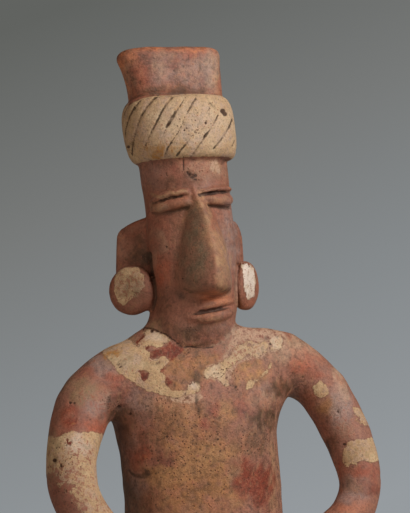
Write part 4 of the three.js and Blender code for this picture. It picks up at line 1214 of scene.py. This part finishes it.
# %% [markdown]
# Low-fired earthenware has no glaze. Where it was burnished with a pebble it keeps a faint waxy sheen, and
# elsewhere it is matt, so roughness runs from about 0.5 to 0.8 with an index of refraction near 1.5. One
# material carries all the layers, because on the real thing they are films on one body: each layer is a mask
# and a colour laid over what is beneath. Patterns are in millimetres, on the object's own coordinates.

# %% One helper for nodes
earthenware = bpy.data.materials.new("burnished_earthenware_with_slips")
earthenware.use_nodes = True
nodes, links = earthenware.node_tree.nodes, earthenware.node_tree.links
nodes.clear()


def add(kind, inputs, out=0, **settings):
    """Adds one node with its settings, feeds its inputs with sockets or plain values, and gives an output."""
    made = nodes.new(kind)
    for name, value in settings.items():
        setattr(made, name, value)
    for key, value in inputs.items():
        if isinstance(value, bpy.types.NodeSocket):
            links.new(value, made.inputs[key])
        else:
            made.inputs[key].default_value = value
    return made.outputs[out] if made.outputs else made


# %% [markdown]
# Noise at five sizes breaks every edge and tone, as grain, brush and burial did. One of them is drawn out
# upwards and downwards, as a brush leaves it.

# %% Patterns and painted fields in the material
object_place = add("ShaderNodeTexCoord", {}, out="Object")
in_mm = add("ShaderNodeVectorMath", {0: object_place, "Scale": 1 / MM}, operation="SCALE")
streaky = add("ShaderNodeVectorMath", {0: in_mm, 1: (1.0, 1.0, 0.4)}, operation="MULTIPLY")
# Each pattern is the size of its largest patches in millimetres, its detail and its roughness. Real grit and
# brush hairs are finer than one pixel of the picture, so the finest two are drawn coarser than they are.
PATTERN_MM = {"cloudy": (9, 4, 0.6), "blotch": (4.2, 5, 0.65), "streak": (2.6, 5, 0.7),
              "fray": (2.2, 5, 0.68), "grit": (1.15, 4, 0.7)}
pattern = {}
for name, (size, detail, rough) in PATTERN_MM.items():
    noise = {"Vector": streaky if name == "streak" else in_mm, "Scale": 1 / size, "Detail": detail,
             "Roughness": rough}
    pattern[name] = add("ShaderNodeTexNoise", noise)
field = {name: add("ShaderNodeAttribute", {}, out="Fac", attribute_name=name) for name in fields}
tone = add("ShaderNodeAttribute", {}, out="Color", attribute_name="tint")
print(f"{len(pattern)} patterns and {len(field)} fields to paint with")

# %% [markdown]
# A mask is a grey picture that says where a paint lies. All of them here are made in one way: a field, some
# noise added to it, and a soft step. That is how flaking slip, spreading soot and scattered specks can come
# from the same few lines.

# %% Masks and mixtures
def mask(value, first, last, top=1.0):
    """A soft step: 0 below the first bound, top above the last one, and smoothly between them. With the first
    bound above the last, it runs the other way: 0 above the first and top below the last."""
    bounds = {0: value, 1: first, 2: last, 3: 0.0, 4: top}
    return add("ShaderNodeMapRange", bounds, interpolation_type="SMOOTHSTEP")


def both(a, b):
    """Where two masks meet: their product."""
    return add("ShaderNodeMath", {0: a, 1: b}, operation="MULTIPLY")


def loosened(value, **amounts):
    """A field with noise added: for each named pattern, its difference from a half, so many times."""
    for name, by in amounts.items():
        swing = add("ShaderNodeMath", {0: pattern[name], 1: by, 2: -by / 2}, operation="MULTIPLY_ADD")
        value = add("ShaderNodeMath", {0: value, 1: swing}, operation="ADD")
    return value


def mixed(**shares):
    """The sum of the named patterns, each times its share; the shares add up to one."""
    total = 0.0
    for name, share in shares.items():
        total = add("ShaderNodeMath", {0: pattern[name], 1: share, 2: total}, operation="MULTIPLY_ADD")
    return total


def blended(value, stops):
    """A colour for each value, blended between the named stops."""
    band = add("ShaderNodeValToRGB", {0: value})
    elements = band.node.color_ramp.elements
    while len(elements) < len(stops):
        elements.new(0.5)
    for stop, (place, name) in zip(elements, stops):
        stop.position = place
        stop.color = COLOUR[name]
    return band


def laid_over(under, layers):
    """Each layer's colour over what is beneath it, as much as its cover says."""
    for cover, paint in layers:
        paint = COLOUR[paint] if isinstance(paint, str) else paint
        under = add("ShaderNodeMix", {0: cover, 6: under, 7: paint}, out=2, data_type="RGBA")
    return under


def shaded_by(under, value, first, last, darkest, brightest):
    """The colour times a factor that runs from the darkest to the brightest between two bounds of a value."""
    factor = add("ShaderNodeMapRange", {0: value, 1: first, 2: last, 3: darkest, 4: brightest})
    return add("ShaderNodeMix", {0: 1.0, 6: under, 7: factor}, out=2, data_type="RGBA", blend_type="MULTIPLY")


# %% [markdown]
# The fired body comes first. Its tones were mixed for each point, and here noise adds the small streaks and
# flecks of a hand-brushed, burnished slip. On the arms and the face it lies more quietly.

# %% The body under the slips
BODY_TONES = [
    (mask(pattern["streak"], 0.51, 0.66, 0.35), "tan"),
    (mask(pattern["streak"], 0.46, 0.34, 0.45), "brown"),
    (mask(pattern["cloudy"], 0.53, 0.64, 0.25), "terracotta"),
    (mask(pattern["blotch"], 0.45, 0.34, 0.30), "brown"),
    (mask(pattern["grit"], 0.57, 0.70, 0.35), "tan"),
    (mask(pattern["fray"], 0.43, 0.32, 0.40), "umber"),
    (mask(loosened(field["rubbed"], grit=1.2), 0.3, 0.9, 0.35), "tan")]
mottling = mixed(fray=0.3, blotch=0.35, cloudy=0.35)
body = shaded_by(laid_over(tone, BODY_TONES), mottling, 0.40, 0.60, 0.70, 1.26)
body = laid_over(body, [(both(field["quiet"], 0.45), tone)])
print(f"{len(BODY_TONES)} tones in the body, and {len(nodes)} nodes so far")

# %% [markdown]
# Cream slip is a film that wears away. Its edge is where the distance field, with noise on it, crosses zero,
# and more noise is let in where the slip is worn, so that it flakes there. A thin brown line follows the
# edge, as it does where slip has bled and caught dirt; it is also a painted shadow under the slip's raised
# edge.

# %% Cream slip and its edges
CREAM_STOPS = [(0.37, "grey_cream"), (0.44, "pink_cream"), (0.50, "cream"), (0.59, "light_cream")]
cream_tone = blended(mixed(fray=0.25, blotch=0.35, cloudy=0.4), CREAM_STOPS)
cream_tone = laid_over(cream_tone, [(mask(pattern["grit"], 0.42, 0.33, 0.45), "brown"),
                                    (field["pale"], "pale_cream")])
soft_edge = loosened(field["cream_slip"], blotch=3.4, fray=2.2)
gnawed = both(field["worn"], loosened(-0.4, fray=16.0, grit=8.0))
edge = add("ShaderNodeMath", {0: soft_edge, 1: gnawed}, operation="ADD")
flaking = loosened(field["worn"], blotch=1.0, fray=2.4, grit=1.6)
cream_cover = both(mask(edge, -0.25, 0.25), mask(flaking, 1.0, 0.55))
edge_line = both(mask(edge, -0.9, 0.1), mask(edge, 0.5, -0.1))
washed_out = mask(loosened(0.4, blotch=1.6, fray=2.2, grit=1.2), 0.0, 0.6, 0.85)
thin_cover = both(mask(loosened(field["thin_cream"], blotch=5.0, fray=3.0), -0.6, 0.8), washed_out)
print(f"the cream runs through {len(CREAM_STOPS)} tones, and {len(nodes)} nodes are placed so far")

# %% [markdown]
# Then everything is laid one over the other, in the order in which it came about: thin wash, the brown edge,
# cream slip, grime, stain, soot and painted shade, freckles, dirt and painted shade in the hollows, specks,
# and last the strokes and slits. The strokes hold the darkest dirt, and the slits, cracks and pits are
# painted dark as the shade inside them and the dirt they hold.

# %% Layers of wear and dirt
# Real specks of grit are about half a millimetre apart. They are drawn further apart, so that they show.
SPECK_SPACING_MM = 1.7
specks = add("ShaderNodeTexVoronoi", {"Vector": in_mm, "Scale": 1 / SPECK_SPACING_MM, "Randomness": 1.0})
speckled = mask(loosened(field["speckled"], cloudy=1.6, blotch=2.4), 0.4, 0.8)
speck_place = both(mask(specks, 0.33, 0.15), speckled)
stroke = mask(loosened(field["stroke"], fray=0.9, grit=0.6), 0.8, 0.3)
LAYERS = [
    (thin_cover, "pink_cream"),
    # The slip's brown edge line: caught dirt, and a painted shadow under the raised edge.
    (both(edge_line, mask(pattern["cloudy"], 0.4, 0.55, 0.45)), "brown"),
    (cream_cover, cream_tone),
    (mask(loosened(field["grimy"], blotch=1.2, fray=1.4), 0.2, 1.0, 0.6), "grimy"),
    (mask(loosened(field["stain"], blotch=2.6, fray=3.0, grit=1.4), 0.35, 1.35, 0.85), "orange_stain"),
    # Soot, and painted shade in joints, creases and armpits and under the nose, chin and lids.
    (mask(loosened(field["soot_and_shade"], blotch=0.8, fray=2.0, grit=1.6), 0.35, 0.95, 0.75), "soot_and_shade"),
    (mask(loosened(field["freckled"], grit=5.0, fray=5.0), 0.72, 1.0, 0.75), "dull_red"),
    # Painted shade and dirt in the small hollows.
    (mask(field["hollow"], 0.5, 1.6, 0.45), "groove"),
    (both(speck_place, 0.8), "speck"),
    (both(stroke, mask(pattern["cloudy"], 0.32, 0.55, 0.9)), "groove"),
    # Slits, cracks and pits painted dark: the shade inside them and the dirt they hold.
    (mask(field["slit"], 0.15, -0.25, 0.9), "slit")]
grain = mixed(grit=0.6, fray=0.4)
skin_colour = shaded_by(laid_over(body, LAYERS), grain, 0.34, 0.66, 0.67, 1.33)
print(f"{len(LAYERS)} layers over the body")

# %% [markdown]
# Bare burnished clay is a little glossier than the chalky cream, so roughness follows the cover. The cream is
# also a film that one can feel, grain stands up, and specks leave small pits. These are too low for the mesh,
# so a bump of less than a millimetre carries them.

# %% Sheen and fine relief
GLOSSY_CLAY, DULL_CLAY, CREAM_ROUGH, CLAY_IOR = 0.5, 0.7, 0.78, 1.5
sheen = {0: pattern["blotch"], 1: 0.35, 2: 0.65, 3: GLOSSY_CLAY, 4: DULL_CLAY}
roughness = add("ShaderNodeMix", {0: cream_cover, 2: add("ShaderNodeMapRange", sheen), 3: CREAM_ROUGH})
height = both(pattern["grit"], 0.5)
for part, share in ((cream_cover, 0.25), (pattern["fray"], 0.45), (speck_place, -0.35)):
    height = add("ShaderNodeMath", {0: part, 1: share, 2: height}, operation="MULTIPLY_ADD")
bump = add("ShaderNodeBump", {"Height": height, "Distance": MM, "Strength": 0.8})
looks = {"Base Color": skin_colour, "Roughness": roughness, "Normal": bump, "IOR": CLAY_IOR}
add("ShaderNodeOutputMaterial", {"Surface": add("ShaderNodeBsdfPrincipled", looks)})
figure_mesh.materials.append(earthenware)
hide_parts(NODE)
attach(figure, "root")
print(f"{len(nodes)} nodes in {earthenware.name}")

# %% [markdown]
# A studio for one small figure: a plain pale floor, a plain grey surround, one large soft light from the
# viewer's right and above, and a weak one from the left to open the shadows.

# %% Floor
centre = Vector((0, 0, 0.3))
FLOOR_REACH = 2.2
floor_mesh = bpy.data.meshes.new("studio_floor")
corners = [(-FLOOR_REACH, -FLOOR_REACH, 0), (FLOOR_REACH, -FLOOR_REACH, 0), (FLOOR_REACH, FLOOR_REACH, 0),
           (-FLOOR_REACH, FLOOR_REACH, 0)]
floor_mesh.from_pydata(corners, [], [(0, 1, 2, 3)])
floor = bpy.data.objects.new("studio_floor", floor_mesh)
bpy.context.scene.collection.objects.link(floor)
floor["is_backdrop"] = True
floor_paint = bpy.data.materials.new("matt_studio_paper")
floor_paint.use_nodes = True
paper = floor_paint.node_tree.nodes["Principled BSDF"].inputs
paper["Base Color"].default_value = linear("b9b9b6")
paper["Roughness"].default_value = 0.9
floor_mesh.materials.append(floor_paint)
print(f"a floor {2 * FLOOR_REACH} m wide")

# %% [markdown]
# The surround is a plain grey that darkens upwards and to the left. The camera sees it as it is, and the
# figure gets only part of its light, so that the lamps shape the clay. The helper for nodes now adds to the
# surround.

# %% Surround
world = bpy.data.worlds.new("grey_surround")
bpy.context.scene.world = world
world.use_nodes = True
nodes, links = world.node_tree.nodes, world.node_tree.links
nodes.clear()
looking = add("ShaderNodeTexCoord", {})
up_and_left = (-0.4 * rightward[0], -0.4 * rightward[1], 1.0)
slope = add("ShaderNodeVectorMath", {0: looking, 1: up_and_left}, out="Value", operation="DOT_PRODUCT")
SURROUND_STOPS = [(0, "surround_low", "969b9f"), (0.41, "surround_middle", "84888a"),
                  (0.67, "surround_high", "777978"), (1, "surround_top", "616360")]
COLOUR.update({name: linear(code) for _, name, code in SURROUND_STOPS})
surround = blended(add("ShaderNodeMapRange", {0: slope, 1: -0.068, 2: 0.22}),
                   [(place, name) for place, name, _ in SURROUND_STOPS])
AMBIENT = 0.4
backdrop = add("ShaderNodeBackground", {"Color": surround, "Strength": 1.0})
dimmer = add("ShaderNodeBackground", {"Color": surround, "Strength": AMBIENT})
seen_directly = add("ShaderNodeLightPath", {})
shown = add("ShaderNodeMixShader", {0: seen_directly, 1: dimmer, 2: backdrop})
add("ShaderNodeOutputWorld", {"Surface": shown})
print(f"{len(nodes)} nodes in {world.name}")

# %% [markdown]
# The picture's shadows are soft and fall to the figure's right, towards the back. A square lamp the size of a
# window gives that, and a warm card on the other side keeps the shaded flank from going black.

# %% Lights
def soft_light(name, place, size, watts, glow):
    """A square lamp that faces the figure's middle: a larger one gives softer shadows."""
    lamp = bpy.data.lights.new(name, "AREA")
    lamp.size = size
    lamp.energy = watts
    lamp.color = linear(glow)[:3]
    holder = bpy.data.objects.new(name, lamp)
    bpy.context.scene.collection.objects.link(holder)
    holder.location = place
    holder.rotation_euler = (centre - Vector(place)).to_track_quat("-Z", "Y").to_euler()


def beside(right, near, up):
    """A place so many metres to the viewer's right of the figure, towards the viewer, and up."""
    return Vector(rightward * right) - Vector((ahead[0], ahead[1], 0)) * near + Vector((0, 0, up))


LIGHTS = [("window_right", beside(0.95, 0.8, 1.15), 0.7, 19, "fffaf2"),
          ("card_left", beside(-0.9, 1.1, 0.5), 1.0, 3.5, "ffe4cc")]
for name, place, size, watts, glow in LIGHTS:
    soft_light(name, place, size, watts, glow)
    print(f"{name}: {watts} W at {tuple(round(v, 2) for v in place)}")

# %% [markdown]
# The camera stands where the photographer's eye was found to be, looks at the chin and throat, and takes in
# the same height. Its lens length follows from the distance and the height of the frame.

# %% Camera
SENSOR_TALL = 24.0
lens = bpy.data.cameras.new("camera")
lens.sensor_fit = "VERTICAL"
lens.sensor_height = SENSOR_TALL
lens.lens = SENSOR_TALL * FOCAL_PIXELS / PICTURE_TALL
lens.clip_start = 0.05
camera = bpy.data.objects.new("camera", lens)
bpy.context.scene.collection.objects.link(camera)
camera.location = Vector(EYE * MM)
camera.rotation_euler = Vector(AIM - EYE).to_track_quat("-Z", "Y").to_euler()
bpy.context.scene.camera = camera
bpy.context.scene.view_settings.view_transform = "Standard"
print(f"a lens of {lens.lens:.1f} mm over {SENSOR_TALL} mm, {np.linalg.norm(EYE - AIM):.0f} mm away")

# %% [markdown]
# Last, the sizes. Smoothing and marks change the outline a little, but the dressed figure has to fill the box
# of its frame. Both boxes are printed, so that anyone can compare them.

# %% Sizes
visual_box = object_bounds()
for name, box in (("CAD", cad_box), ("visual", visual_box)):
    print(f"the {name} box, in mm:", *(tuple(round(v * 1000, 1) for v in corner) for corner in box))
